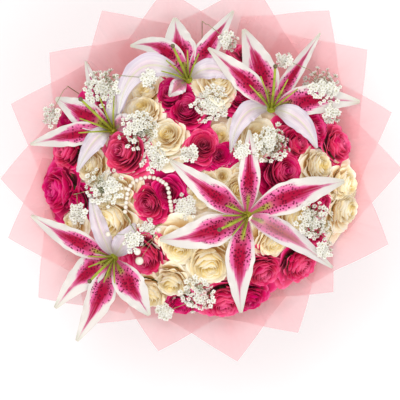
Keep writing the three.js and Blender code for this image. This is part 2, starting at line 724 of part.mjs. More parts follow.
function strandSolid(blooms) {
  const plan = new THREE.CatmullRomCurve3(STRAND_PATH.map(([x, y]) => vec(x, y, 0)), false, "centripetal");
  const beads = Math.round(plan.getLength() / (2 * STRAND_BEAD));
  const path = plan.getSpacedPoints(2 * beads).map(({ x, y }) => (
    vec(x, y, cover(x, y, STRAND_BEAD) + STRAND_BEAD)
  ));
  for (let pass = 0; pass < 4; pass += 1) {
    for (let i = 1; i < path.length - 1; i += 1) {
      path[i].z = Math.max(path[i].z, (path[i - 1].z + path[i + 1].z) / 2);
    }
  }
  const radii = path.map((_, i) => (i % 2 ? STRAND_BEAD : STRAND_WAIST));
  for (const point of path) bumps.push({ x: point.x, y: point.y, z: point.z, r: STRAND_BEAD });
  const gap = gapNear(STRAND_PATH[0][0], STRAND_PATH[0][1], blooms);
  const stem = risingStem(gap, TWIG_RADIUS);
  return fused([stem.solid, branch(stem.top, path[0], BRANCH_RADIUS), rod(path, radii, 4)]);
}

function pearlPick(blooms) {
  const gap = gapNear(PEARL_HEADS[0][0], PEARL_HEADS[0][1], blooms);
  const stem = risingStem(gap, TWIG_RADIUS);
  const parts = [stem.solid];
  for (const [x, y, radius] of PEARL_HEADS) {
    const center = vec(x, y, cover(x, y, radius) + radius + 1);
    const pearl = new THREE.IcosahedronGeometry(radius, 1);
    pearl.translate(center.x, center.y, center.z);
    parts.push(solidOf(pearl), branch(stem.top, center, BRANCH_RADIUS));
    bumps.push({ x, y, z: center.z, r: radius });
  }
  return fused(parts);
}

// ---- film collar and ribbon --------------------------------------------------------------------------
// Rows of the film from its lower edge to the rim: radius and height. The rim row follows the corners.
function collarSolid() {
  const count = COLLAR_CORNERS.length;
  const middleRadius = (COLLAR_NECK_RADIUS + COLLAR_BEND_RADIUS) / 2;
  const profile = [
    [COLLAR_NECK_RADIUS, COLLAR_NECK_BOTTOM, 0],
    [COLLAR_NECK_RADIUS, COLLAR_NECK_TOP, 0],
    [middleRadius, collarHeight(middleRadius), 0.5],
    [COLLAR_BEND_RADIUS, collarHeight(COLLAR_BEND_RADIUS), 1],
  ];
  const rows = [];
  const station = (angle, rim, lap, fold) => {
    const turn = THREE.MathUtils.degToRad(angle);
    const at = (radius, height) => vec(radius * Math.cos(turn), radius * Math.sin(turn), height);
    const body = profile.map(([radius, height, share]) => at(radius + fold * share, height + lap * share));
    rows.push([...body, at(rim, collarHeight(rim) + lap)]);
  };
  for (let c = 0; c < count; c += 1) {
    const [radius, angle] = COLLAR_CORNERS[c];
    const [lastRadius, lastAngle] = COLLAR_CORNERS[(c + count - 1) % count];
    const [nextRadius, nextAngle] = COLLAR_CORNERS[(c + 1) % count];
    const before = c === 0 ? lastAngle - 360 : lastAngle;
    const after = c === count - 1 ? nextAngle + 360 : nextAngle;
    const fromNotch = (before + angle) / 2 + COLLAR_STEP;
    const toNotch = (angle + after) / 2 - COLLAR_STEP;
    station(fromNotch, (COLLAR_NOTCH * (lastRadius + radius)) / 2, COLLAR_LAP, 0);
    station(angle, radius, 0, COLLAR_FOLD);
    station(toNotch, (COLLAR_NOTCH * (radius + nextRadius)) / 2, -COLLAR_LAP, 0);
  }
  return sheet(rows, COLLAR_THICKNESS, true);
}

const RIBBON_BOTTOM = 105;
const RIBBON_TOP = 119;
const RIBBON_THICKNESS = 1.4;
const KNOT_SIZE = [13, 9, 13];
const BOW_LOOP = 40; // length of a loop of the bow
const BOW_WIDTH = 15;
const BOW_BULGE = 8; // how far a loop opens forwards and backwards
const BOW_TAIL = 75;
const TAIL_SPREAD = 17;
const TAIL_LEAN = 22; // how far a tail's end stands off the knot

function ribbonSolid() {
  const inner = COLLAR_NECK_RADIUS + SEAT_GAP + 0.2;
  const outer = inner + RIBBON_THICKNESS;
  const profile = [
    new THREE.Vector2(inner, RIBBON_BOTTOM), new THREE.Vector2(outer, RIBBON_BOTTOM),
    new THREE.Vector2(outer, RIBBON_TOP), new THREE.Vector2(inner, RIBBON_TOP),
    new THREE.Vector2(inner, RIBBON_BOTTOM),
  ];
  const band = new THREE.LatheGeometry(profile, 18);
  band.rotateX(Math.PI / 2);
  const middle = (RIBBON_BOTTOM + RIBBON_TOP) / 2;
  const front = -outer - 3;
  const knot = new THREE.BoxGeometry(...KNOT_SIZE);
  knot.translate(0, front - 0.5, middle);
  const parts = [solidOf(band), solidOf(knot)];
  for (const hand of [-1, 1]) {
    // a loop leaves the knot, turns at its end and comes back in front of itself
    const loop = Array.from({ length: 9 }, (_, i) => {
      const angle = Math.PI * (0.12 + (1.76 * i) / 8);
      const x = hand * (BOW_LOOP * 0.5 * (1 - Math.cos(angle)) + 1);
      const y = front - 2 + BOW_BULGE * Math.sin(angle) * (1 - Math.cos(angle)) * 0.5;
      const half = BOW_WIDTH * (0.28 + 0.22 * Math.sin(angle / 2));
      return [vec(x, y, middle - half), vec(x, y, middle + half)];
    });
    parts.push(sheet(loop, RIBBON_THICKNESS));
    const tail = Array.from({ length: 4 }, (_, i) => {
      const share = i / 3;
      const x = hand * (3 + TAIL_SPREAD * share);
      const y = front - 1 - TAIL_LEAN * share;
      const z = middle - 3 - BOW_TAIL * share;
      return [vec(x - 6, y, z), vec(x + 6, y, z + hand * 3 * share)];
    });
    parts.push(sheet(tail, RIBBON_THICKNESS));
  }
  return fused(parts);
}

// ---- the bouquet -------------------------------------------------------------------------------------
const bouquet = new THREE.Group();

function add(name, solid, color, roughness) {
  const material = new THREE.MeshStandardMaterial({ color, roughness, metalness: 0 });
  const mesh = new THREE.Mesh(geometryOf(solid), material);
  mesh.name = name;
  bouquet.add(mesh);
}

const number = (i) => String(i + 1).padStart(2, "0");
const pink = placeRoses(PINK_ROSES);
const white = placeRoses(WHITE_ROSES);
giveWay([...pink, ...white]);
const roses = [...pink, ...white].flat();
for (const rose of roses) rose.foot = ROSE_FOOT * rose.r;

const lilies = LILIES.map((lily) => {
  const [x, y] = lily.throat;
  const center = vec(x, y, domeHeight(x, y));
  return { ...lily, x, y, r: LILY_COLUMN - 2, base: center, center, axis: UP, foot: 11 };
});

const goldenAngle = Math.PI * (3 - Math.sqrt(5));
for (const [colour, groups, color] of [["pink", pink, PINK], ["white", white, CREAM]]) {
  groups.forEach((group, i) => {
    const solids = group.map((rose, k) => roseSolid(rose, goldenAngle * (i + 3 * k)));
    add(`rose_${colour}_${number(i)}`, fused(solids), color, 0.6);
  });
}
lilies.forEach((lily, i) => add(`lily_${number(i)}`, lilySolids(lily), LILY_WHITE, 0.5));
lilies.forEach((lily, i) => add(`lily_pistil_${number(i)}`, pistilSolid(lily), LILY_GREEN, 0.5));

const blooms = [...roses, ...lilies];
for (const bloom of blooms) {
  const [root, neck, top] = stemPath(bloom);
  bloom.stem = [new THREE.Line3(root, neck), new THREE.Line3(neck, top)];
}
add("pearl_strand", strandSolid(blooms), PEARL, 0.25);
add("pearl_pick", pearlPick(blooms), PEARL, 0.25);
SPRAYS.forEach((spray, i) => add(`babys_breath_${number(i)}`, spraySolid(spray, blooms), FLORET_WHITE, 0.7));

add("stems", stemBundle(blooms), STEM_GREEN, 0.6);
add("film_collar", collarSolid(), FILM_PINK, 0.35);
add("ribbon", ribbonSolid(), RIBBON_PINK, 0.4);

export default bouquet;
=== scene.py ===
# %% [markdown]
# # A hand-tied bouquet, built in Blender over its CAD frame
#
# The frame holds the bouquet as plain closed solids. Each cell below makes one kind of piece, with real
# petals, florets, sheets of film and stems, in the place of its CAD node. Lengths in the layout are in
# millimetres, as in the frame's own layout, and become metres when a mesh is made.

import bpy
import numpy as np
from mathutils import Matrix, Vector


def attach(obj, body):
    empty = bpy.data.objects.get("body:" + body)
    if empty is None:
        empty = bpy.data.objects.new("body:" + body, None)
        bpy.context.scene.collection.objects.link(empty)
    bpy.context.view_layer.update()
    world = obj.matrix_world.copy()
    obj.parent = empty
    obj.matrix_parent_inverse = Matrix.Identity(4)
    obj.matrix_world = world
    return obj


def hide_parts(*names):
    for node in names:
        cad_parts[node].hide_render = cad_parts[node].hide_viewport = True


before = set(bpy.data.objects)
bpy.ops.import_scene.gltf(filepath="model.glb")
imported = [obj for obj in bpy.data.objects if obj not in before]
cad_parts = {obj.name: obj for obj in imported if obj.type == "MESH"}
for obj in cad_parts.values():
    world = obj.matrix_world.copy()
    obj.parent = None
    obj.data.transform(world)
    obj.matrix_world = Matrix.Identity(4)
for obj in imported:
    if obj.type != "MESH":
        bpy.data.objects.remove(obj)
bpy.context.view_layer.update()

MM = 0.001
TAU = 2 * np.pi
GOLDEN = np.pi * (3 - np.sqrt(5))
UP = np.array([0.0, 0.0, 1.0])

# %% [markdown]
# ## Meshes from grids of points
#
# A petal, a stem and a sheet of film are all one thing to the computer: a grid of points with rows and
# columns. It could be drawn point by point, but a formula over the two directions of the grid gives every
# point at once, so the form stays easy to change. `Pile` gathers many grids into one mesh, with a UV place
# for every point.


# %% Piles of grids
def points_of(x, y, z):
    """Points from three arrays of coordinates that are spread to one shape."""
    return np.stack(np.broadcast_arrays(x, y, z), axis=-1)


def round_points(radius, turn, z):
    """Points at a radius and a turn about the upright axis."""
    return points_of(radius * np.cos(turn), radius * np.sin(turn), z)


def unit(vectors):
    """The vectors at length 1, along the last axis."""
    return vectors / (np.linalg.norm(vectors, axis=-1, keepdims=True) + 1e-12)


class Pile:
    """Grids of points that become one mesh. The materials read two facts of each point: ring, which runs
    from 0 inside a rose to 1 outside or tells how far a tepal shows its back, and luck, a random number."""

    def __init__(self):
        self.points, self.quads, self.uvs, self.facts, self.slots = [], [], [], [], []
        self.count = 0

    def grids(self, points, ring=0.0, luck=0.0, slot=0, closed=False):
        """Adds one grid (rows, cols, 3) or n of them (n, rows, cols, 3). Closed joins the last column to
        the first one."""
        points = points if points.ndim == 4 else points[None]
        shape = points.shape[:3]
        index = np.arange(np.prod(shape)).reshape(shape) + self.count
        if closed:
            index = np.concatenate([index, index[:, :, :1]], axis=2)
        corners = [index[:, :-1, :-1], index[:, :-1, 1:], index[:, 1:, 1:], index[:, 1:, :-1]]
        u = np.linspace(0, 1, shape[2])[None, None, :]
        v = np.linspace(0, 1, shape[1])[None, :, None]
        self.points.append(points.reshape(-1, 3))
        self.quads.append(np.stack(corners, axis=-1).reshape(-1, 4))
        for kept, pair in ((self.uvs, (u, v)), (self.facts, (ring, luck))):
            kept.append(np.stack([np.broadcast_to(value, shape) for value in pair], axis=-1).reshape(-1, 2))
        self.slots.append(np.full(len(self.quads[-1]), slot))
        self.count += points[..., 0].size

    def mesh(self, replaced, ending, materials, slot_name):
        """Makes the object, which rides on the root in the place of the CAD node that it replaces."""
        quads = np.concatenate(self.quads).astype(np.int32)
        data = bpy.data.meshes.new(f"{replaced}_{ending}")
        data.vertices.add(self.count)
        data.vertices.foreach_set("co", (np.concatenate(self.points) * MM).astype(np.float32).ravel())
        data.loops.add(quads.size)
        data.loops.foreach_set("vertex_index", quads.ravel())
        data.polygons.add(len(quads))
        data.polygons.foreach_set("loop_start", np.arange(0, quads.size, 4, dtype=np.int32))
        data.polygons.foreach_set("material_index", np.concatenate(self.slots).astype(np.int32))
        data.polygons.foreach_set("use_smooth", np.ones(len(quads), dtype=bool))
        uv = np.concatenate(self.uvs)[quads.ravel()].astype(np.float32)
        data.uv_layers.new(name="UVMap").data.foreach_set("uv", uv.ravel())
        for fact, values in zip(("ring", "luck"), np.concatenate(self.facts).T):
            attribute = data.attributes.new(fact, "FLOAT", "POINT")
            attribute.data.foreach_set("value", values.astype(np.float32))
        data.update(calc_edges=True)
        data.validate()
        for finish in materials:
            data.materials.append(finish)
        made = bpy.data.objects.new(data.name, data)
        bpy.context.collection.objects.link(made)
        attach(made, "root")
        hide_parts(replaced)
        return made


sheet = Pile()
sheet.grids(np.zeros((4, 5, 3)))
print("a grid of 4 by 5 points has", len(sheet.quads[0]), "faces")

# %% [markdown]
# ## Tubes and balls
#
# A stem, a wire and a filament are grids rolled round a path, and a pearl is a grid rolled to a ball. The
# ready-made cylinders and spheres are straight and whole, where these follow any curve and any width.


# %% Tubes and balls
def tubes(pile, paths, radii, sides=6, capped=True, **facts):
    """Round tubes along one path (steps, 3) or n paths (n, steps, 3), with a radius for each step.

    A ring of each tube is p + r (a cos t + b sin t), with a and b square to the path's direction. A capped
    tube has one more ring at each end, of radius 0, which closes it."""
    paths = paths if paths.ndim == 3 else paths[None]
    radii = np.broadcast_to(radii, paths.shape[:2])
    if capped:
        paths = np.concatenate([paths[:, :1], paths, paths[:, -1:]], axis=1)
        radii = np.concatenate([0 * radii[:, :1], radii, 0 * radii[:, -1:]], axis=1)
    way = unit(np.gradient(paths, axis=1))
    mean = way.mean(axis=1, keepdims=True)
    steep = np.abs(mean[..., 2:3]) > 0.7 * np.linalg.norm(mean, axis=-1, keepdims=True)
    helper = np.where(steep, np.array([1.0, 0.0, 0.0]), UP)
    a = unit(np.cross(way, np.broadcast_to(helper, way.shape)))
    b = np.cross(way, a)
    turn = TAU * np.arange(sides) / sides
    spokes = a[:, :, None] * np.cos(turn)[:, None] + b[:, :, None] * np.sin(turn)[:, None]
    pile.grids(paths[:, :, None] + spokes * radii[:, :, None, None], closed=True, **facts)


def balls(pile, centers, radii, rows=9, sides=12, **facts):
    """Balls at centers of shape (n, 3): the ring at height r cos p has the radius r sin p."""
    polar = np.linspace(0, np.pi, rows)[:, None]
    turn = (TAU * np.arange(sides) / sides)[None, :]
    radii = np.broadcast_to(radii, len(centers))[:, None, None, None]
    ball = round_points(np.sin(polar), turn, np.cos(polar)) * radii
    pile.grids(np.asarray(centers)[:, None, None] + ball, closed=True, **facts)


one_ball = Pile()
balls(one_ball, [[0, 0, 0]], 1.0)
print("a ball of 9 rings and 12 sides has", len(one_ball.quads[0]), "faces")

# %% [markdown]
# ## Steps and curves
#
# Three small formulas are used everywhere: a step without corners, a smooth curve through a few given
# points, and two directions that are square to a bloom's axis. With them a few numbers give a whole
# petal, where modelling by hand would need many points.


# %% Steps and curves
def smooth(x, low=0.0, high=1.0):
    """The soft step 3t^2 - 2t^3, with t running from 0 at low to 1 at high."""
    t = np.clip((x - low) / (high - low), 0, 1)
    return t * t * (3 - 2 * t)


def through(stations, values, x):
    """A smooth curve through values (first axis) at the given stations: cubic pieces with matched slopes."""
    stations, values, x = np.asarray(stations, float), np.asarray(values, float), np.asarray(x, float)
    slopes = np.gradient(values, stations, axis=0)
    i = np.clip(np.searchsorted(stations, x) - 1, 0, len(stations) - 2)
    width = stations[i + 1] - stations[i]
    t = (x - stations[i]) / width
    shape = (slice(None),) + (None,) * (values.ndim - 1)
    t, width = t[shape], width[shape]
    start = (2 * t**3 - 3 * t**2 + 1) * values[i] + (t**3 - 2 * t**2 + t) * width * slopes[i]
    end = (3 * t**2 - 2 * t**3) * values[i + 1] + (t**3 - t**2) * width * slopes[i + 1]
    return start + end


def axes_of(axis):
    """Two directions square to an axis, the first one near +X."""
    across = unit(np.array([1.0, 0.0, 0.0]) - axis * axis[0])
    return across, np.cross(axis, across)


print("half way up the soft step:", smooth(0.5), "and a quarter of the way:", smooth(0.25))

# %% [markdown]
# ## Sizes and corners
#
# The layout is the frame's: every bloom has a place in plan, and its height comes from one dome. The film
# is a cone with a flatter rim, and its pointed corners are given by their reach and their direction.

# %% Sizes and corners
DOME_TOP, DOME_FALL, DOME_RADIUS, BLOOM_LEAN = 385, 0.0023, 165, 1.6
TIE_BOTTOM, TIE_TOP, TIE_WAIST, TIE_RADIUS = 103, 124, 112, 27.3
STEM_SPREAD, SPIRAL_RATE, STEM_NECK = 24, 0.02176, 12
NECK_RADIUS, NECK_BOTTOM, NECK_TOP, BEND_RADIUS = 29, 98, 121, 178
CONE_SLOPE, RIM_SLOPE, COLLAR_FOLD = 1.216, 0.5, 3.0
SEAT_GAP, LILY_COLUMN, PAIR_OVERLAP, ROSE_GROWTH, ROSE_FOOT = 0.3, 9, 0.74, 1.12, 0.78
THROAT_RADIUS, TEPAL_HALF_WIDTH, STRAND_BEAD = 5, 13.5, 2.5

COLLAR_CORNERS = [  # reach from the middle and direction in degrees
    (221, 1), (220, 17.4), (227, 36.4), (227, 51.6), (216, 74.2), (206, 101.2),
    (209, 121.5), (213, 141.7), (222, 160.3), (221, 181.8), (224, 198.8), (226, 217.6),
    (209, 233.2), (203, 256.6), (212, 280.9), (207, 301.2), (197, 317.9), (221, 339),
]
print(len(COLLAR_CORNERS), "corners of film, up to", max(c[0] for c in COLLAR_CORNERS), "mm from the middle")

# %% [markdown]
# ## The blooms in plan
#
# The numbers are places seen from above: for a rose x, y, radius and how deep it sits. Roses in one inner
# list share a CAD node. A tepal is told by a point half way along it and its tip, so it can bend in plan
# the way the real one does, which an evenly turned star of six would not show.

# %% The blooms in plan
PINK_ROSES = [
    [(-84, 21, 22, 0)], [(-32, 84, 22, 0), (-9, 59, 20, 0)], [(3, 28, 22, 0), (36, 10, 20, 4)],
    [(-140, 53, 19, 0), (-148, 21, 20, 0)], [(-155, -20, 22, 0), (-133, -36, 17, 0)],
    [(-56, -34, 22, 0), (-28, -19, 18, 0)], [(-61, -92, 19, 0)], [(-22, -146, 16, 0)],
    [(25, -141, 19, 0), (53, -138, 15, 0)], [(67, -108, 20, 0)], [(109, -100, 17, 0), (129, -80, 13, 4)],
    [(131, -34, 17, 0)], [(89, 1, 19, 0)], [(150, 30, 20, 0)], [(122, 46, 17, 0), (107, 32, 17, 4)],
    [(43, 84, 12, 6), (54, 106, 13, 6)], [(51, 132, 14, 0)],
]
WHITE_ROSES = [
    [(-62, 66, 19, 0), (-59, 97, 18, 4)], [(-36, 40, 20, 0)], [(-120, 7, 19, 0)], [(-142, -56, 14, 0)],
    [(-88, -22, 22, 0), (-99, -59, 22, 0)], [(-32, -120, 24, 0), (-58, -133, 18, 0)],
    [(-23, -81, 20, 0), (13, -99, 25, 0)], [(78, -76, 17, 0)], [(101, -46, 18, 0)],
    [(158, -40, 22, 0), (157, -6, 17, 0)], [(128, 7, 21, 0)], [(23, 43, 15, 14)],
    [(18, 97, 23, 0), (34, 125, 16, 0)], [(62, 35, 17, 0)],
    [(42, -20, 17, 8), (19, 0, 18, 8), (-4, -20, 15, 6), (-20, -44, 15, 6)],
]
LILIES = [  # throat, the pistil's end, and of each tepal: middle, tip, width, roll, 1 if its back shows
    ((-97, -95), (-120, -118), [
        (-144, -73, -188, -48, 0.75, -20, 0), (-128, -113, -161, -150, 0.9, 8, 0),
        (-113, -141, -137, -186, 0.85, 0, 0), (-75, -128, -57, -158, 0.95, 15, 0),
        (-111, -58, -121, -24, 0.6, 35, 1), (-83, -75, -72, -56, 0.7, -25, 1)]),
    ((-97, 46), (-129, 77), [
        (-114, 85, -128, 123, 0.55, 30, 0), (-131, 65, -161, 82, 0.85, -12, 0),
        (-144, 40, -189, 31, 0.7, 0, 0), (-117, 32, -136, 0, 0.65, 25, 1),
        (-87, 88, -56, 128, 0.65, -30, 1), (-82, 53, -67, 56, 0.6, 0, 0.3)]),
    ((-15, 102), (-30, 134), [
        (-24, 139, -29, 171, 0.95, 0, 0), (-42, 134, -78, 139, 0.75, 20, 0),
        (11, 140, 36, 179, 0.7, -20, 0), (-65, 112, -90, 63, 0.75, 0, 1),
        (14, 112, 39, 97, 0.65, -15, 1), (-26, 91, -35, 82, 0.5, 0, 0.3)]),
    ((77, 70), (80, 112), [
        (63, 114, 47, 158, 1, 0, 0), (103, 110, 132, 154, 0.6, -35, 0),
        (125, 79, 176, 78, 0.9, 8, 0), (43, 103, 8, 135, 0.75, -15, 0),
        (47, 61, 32, 23, 0.65, 20, 1), (108, 55, 127, 26, 0.7, -20, 1)]),
    ((50, -48), (21, -62), [
        (52, 0, 52, 45, 0.65, 10, 0), (105, -24, 158, -10, 0.95, 8, 0),
        (92, -68, 146, -106, 0.75, -25, 0.25), (42, -102, 44, -155, 0.85, 0, 0),
        (2, -67, -45, -74, 0.95, 0, 0), (8, -20, -34, 13, 0.8, 12, 0)]),
]
print(len(PINK_ROSES + WHITE_ROSES), "nodes of roses and", len(LILIES), "lilies")

# %% [markdown]
# ## Sprays and pearls in plan
#
# A spray of baby's breath is told by its place and the number of florets that it has in the frame. Some
# branch out to smaller heads. The strand of pearls is a line of listed points.

# %% Sprays and pearls in plan
SPRAYS = [
    (-108, 92, 10), (-67, 46, 10), (-51, 15, 8), (-106, -17, 10), (10, 74, 10), (30, 143, 5), (134, 95, 10),
    (76, 30, 10), (-4, -135, 10), (125, -55, 10), (-166, 63, 5), (-73, -75, 5), (-18, -36, 5),
]
SPRAY_SIZES = {10: (64, 21), 8: (40, 16), 5: (20, 11)}  # florets in the frame: florets here and their spread
SMALL_HEADS = {  # number of the spray: place, florets and spread of each of its small heads
    0: [(-56, 101, 21, 9.2)], 2: [(-12, 19, 24, 9.2)], 3: [(-135, -47, 27, 10.35)],
    6: [(92, 123, 18, 9.2), (144, 63, 21, 9.2)], 7: [(43, 22, 24, 9.2)], 8: [(-40, -154, 24, 9.2)],
    9: [(136, -86, 24, 9.2)], 11: [(-59, -62, 18, 9.2)], 12: [(-16, -42, 24, 10.35)],
}
STRAND_PATH = [
    (-83, -46), (-81, -31), (-79, -20), (-74, -12), (-64, -7), (-56, -6), (-47, -8), (-42, -11), (-37, -15),
    (-35, -22), (-34, -29), (-33, -35), (-32, -44),
]
SIDE_STRAND, SIDE_BEAD = [(-80, -18), (-90, -19), (-100, -23), (-108, -26)], 2.1
PICK_PEARLS = [(-67, -97, 4.6), (-69, -87, 3.8), (-101, -68, 3.0), (-46, -63, 3.0)]  # x, y and radius
print(len(SPRAYS), "sprays of baby's breath and", len(PICK_PEARLS), "pearls on the pick")

# %% [markdown]
# ## Heights
#
# `dome` and `collar_height` are the two surfaces that everything follows. `cover` adds the blooms that are
# already there, each as a round bump. A ray could be shot at the meshes instead, but a sum over a few
# hundred bumps is quick and gives the same answer each time.


# %% Heights
def dome(x, y):
    """Height of the dome of blooms: top - fall (x^2 + y^2)."""
    return DOME_TOP - DOME_FALL * (x * x + y * y)


def on_dome(x, y):
    """The point of the dome over a place in plan."""
    return np.array([x, y, dome(x, y)])


def collar_height(radius):
    """Height of the film: a straight cone up to the bend, flatter beyond it."""
    cone = CONE_SLOPE * (np.minimum(radius, BEND_RADIUS) - NECK_RADIUS)
    return NECK_TOP + cone + RIM_SLOPE * np.maximum(0, radius - BEND_RADIUS)


def facing(x, y):
    """The way a bloom faces: out along the dome's slope, times the lean."""
    radius = np.hypot(x, y)
    lean = BLOOM_LEAN * np.arctan(2 * DOME_FALL * radius)
    outward = np.array([x, y, 0.0]) / max(radius, 1e-9)
    return outward * np.sin(lean) + UP * np.cos(lean)


bumps = []  # x, y, z and radius of what already lies on the dome


def cover(x, y, reach):
    """Height over points in plan of what lies there: the highest of the dome, the film and round bumps,
    each z + sqrt(r^2 - d^2) with d the distance to the bump less the reach."""
    x, y = np.asarray(x, float), np.asarray(y, float)
    height = np.maximum(collar_height(np.hypot(x, y)) + COLLAR_FOLD, dome(x, y))
    bx, by, bz, br = np.array(bumps).T
    away = np.maximum(0, np.hypot(x[..., None] - bx, y[..., None] - by) - np.asarray(reach)[..., None])
    over = np.where(away < br, bz + np.sqrt(np.maximum(br * br - away * away, 0)), -1e9)
    return np.maximum(height, over.max(axis=-1))


print("the dome falls by", round(float(dome(0, 0) - dome(DOME_RADIUS, 0))), "mm from the middle to its edge")

# %% [markdown]
# ## Roses give way
#
# Real blooms press on each other until each has its room. Here a rose first shrinks until it is clear of
# every neighbour, and then opens again into the room that is left. The second rose of a pair slides
# towards the first, so both hold together. Moving them all would spoil the places read from above.


# %% Roses give way
def place_roses(groups):
    """The roses of each node as dictionaries with place, axis and radius."""
    placed = []
    for group in groups:
        placed.append([])
        for x, y, r, sink in group:
            axis = facing(x, y)
            placed[-1].append({"r": r, "wanted": r, "axis": axis, "center": on_dome(x, y) - sink * axis})
    return placed


def apart(rose, other):
    """The room between the middles of two roses."""
    return np.linalg.norm(rose["center"] - other["center"]) - SEAT_GAP


def lily_room(rose):
    """The room up to the nearest lily's throat."""
    return min(np.linalg.norm(rose["center"] - on_dome(*throat)) for throat, _, _ in LILIES) - LILY_COLUMN


def give_way(groups):
    """Shrinks each rose until it clears the roses of other nodes, then lets it open into the free room."""
    roses = [(rose, group) for group in groups for rose in group]
    others = {id(rose): [other for other, theirs in roses if theirs is not group] for rose, group in roses}
    for rose, _ in roses:
        shares = [apart(rose, other) * rose["wanted"] / (rose["wanted"] + other["wanted"])
                  for other in others[id(rose)]]
        rose["r"] = min(rose["wanted"], lily_room(rose), *shares)
    for rose, _ in roses:
        free = [apart(rose, other) - other["r"] for other in others[id(rose)]]
        rose["r"] = min(ROSE_GROWTH * rose["wanted"], lily_room(rose), *free)
    for group in groups:
        for first, second in zip(group, group[1:]):
            way = second["center"] - first["center"]
            share = PAIR_OVERLAP * (first["r"] + second["r"]) / np.linalg.norm(way)
            second["center"] = first["center"] + way * min(1, share)


pink, white = place_roses(PINK_ROSES), place_roses(WHITE_ROSES)
give_way(pink + white)
roses = [rose for group in pink + white for rose in group]
bumps += [(*rose["center"], rose["r"]) for rose in roses]
radii = [rose["r"] for rose in roses]
print(len(roses), "roses with radii from", round(min(radii), 1), "to", round(max(radii), 1), "mm")

# %% [markdown]
# ## Values that flow through nodes
#
# Shared effects are node groups that give out only colours and heights. The Principled shader that uses
# them stays in each material. A picture could be painted for each petal instead, but a rule over the
# petal's own UV map gives every petal its own colouring at any resolution. `Value` lets such a rule be
# written as a sum, and makes its nodes.


# %% Values that flow through nodes
class Value:
    """An output of a node. A sum or a product of values makes the node that works it out."""

    def __init__(self, socket):
        self.socket = socket

    def into(self, kind, settings=None, output=0, **inputs):
        """The output of a new node in the same tree."""
        return Value(node(self.socket.id_data, kind, settings, **inputs).outputs[output])

    def math(self, operation, other=0.0):
        """A sum of this value and another, or of this one alone."""
        return self.into("Math", {"operation": operation}, i0=self, i1=other)

    def __add__(self, other):
        return self.math("ADD", other)

    def __mul__(self, other):
        return self.math("MULTIPLY", other)

    def span(self, low, high, to_low=0.0, to_high=1.0):
        """The value mapped smoothly from low..high, in either order, to to_low..to_high, held at the ends."""
        settings = {"interpolation_type": "SMOOTHSTEP"}
        return self.into("MapRange", settings, i0=self, i1=low, i2=high, i3=to_low, i4=to_high)

    def mix(self, first, second):
        """The first colour where the value is 0, and the second where it is 1."""
        return self.into("MixRGB", Fac=self, Color1=first, Color2=second)

    def noise(self, scale, detail):
        """A soft noise from 0 to 1 over this place."""
        return self.into("TexNoise", output="Fac", Vector=self, Scale=scale, Detail=detail)


def put(made, **inputs):
    """Links or sets the inputs of a node. Base_Color means the input Base Color, and i1 the second one."""
    for key, value in inputs.items():
        numbered = key[0] == "i" and key[1:].isdigit()
        socket = made.inputs[int(key[1:]) if numbered else key.replace("_", " ")]
        if isinstance(value, Value):
            made.id_data.links.new(value.socket, socket)
        else:
            socket.default_value = value
    return made


def node(tree, kind, settings=None, **inputs):
    """A shader node with its settings and inputs."""
    made = tree.nodes.new("ShaderNode" + kind)
    for key, value in (settings or {}).items():
        setattr(made, key, value)
    return put(made, **inputs)


def colour(red, green, blue):
    """A linear colour from the three 0-255 values of a screen colour."""
    c = np.array([red, green, blue]) / 255
    linear = np.where(c <= 0.04045, c / 12.92, ((c + 0.055) / 1.055) ** 2.4)
    return (*[float(v) for v in linear], 1.0)


print("a pink of the roses as the shader sees it:", [round(v, 2) for v in colour(230, 12, 106)[:3]])

# %% [markdown]
# ## Groups and materials
#
# A noise over the place in metres gives blotches. A noise over a piece's own UV map, drawn out along it,
# gives streaks and pleats that follow the piece wherever it bends, which a noise in space would not.


# %% Groups and materials
def group_of(name, inputs, outputs):
    """A new node group with its inputs as values. Both dictionaries map a kind of socket to names."""
    tree = bpy.data.node_groups.new(name, "ShaderNodeTree")
    for in_out, kinds in (("INPUT", inputs), ("OUTPUT", outputs)):
        for kind, labels in kinds.items():
            for label in labels.split():
                tree.interface.new_socket(name=label, in_out=in_out, socket_type="NodeSocket" + kind)
    given = {socket.name: Value(socket) for socket in tree.nodes.new("NodeGroupInput").outputs}
    return tree, given, tree.nodes.new("NodeGroupOutput")


def drawn_noise(facts, factors, detail):
    """A noise over three facts of a point, each multiplied by its factor."""
    scaled = [fact * factor for fact, factor in zip(facts, factors)]
    return facts[0].into("CombineXYZ", X=scaled[0], Y=scaled[1], Z=scaled[2]).noise(1.0, detail)


def place_of(tree):
    """The place of a point in metres, and its two UV numbers."""
    where = node(tree, "TexCoord").outputs
    uv = node(tree, "SeparateXYZ", Vector=Value(where["UV"])).outputs
    return Value(where["Object"]), Value(uv["X"]), Value(uv["Y"])


def fact_of(tree, name):
    """One of the facts that a pile stores for each point."""
    return Value(node(tree, "Attribute", {"attribute_name": name}).outputs["Fac"])


def material(name, **principled):
    """A new material, its nodes and its Principled shader with the given inputs set."""
    made = bpy.data.materials.new(name)
    made.use_nodes = True
    return made, made.node_tree, put(made.node_tree.nodes["Principled BSDF"], **principled)


def roughen(shader, height, strength, distance):
    """Shades the surface as if the height raised it by up to the distance in metres."""
    put(shader, Normal=height.into("Bump", Strength=strength, Distance=distance, Height=height))


print(len(bpy.data.node_groups), "node groups so far")
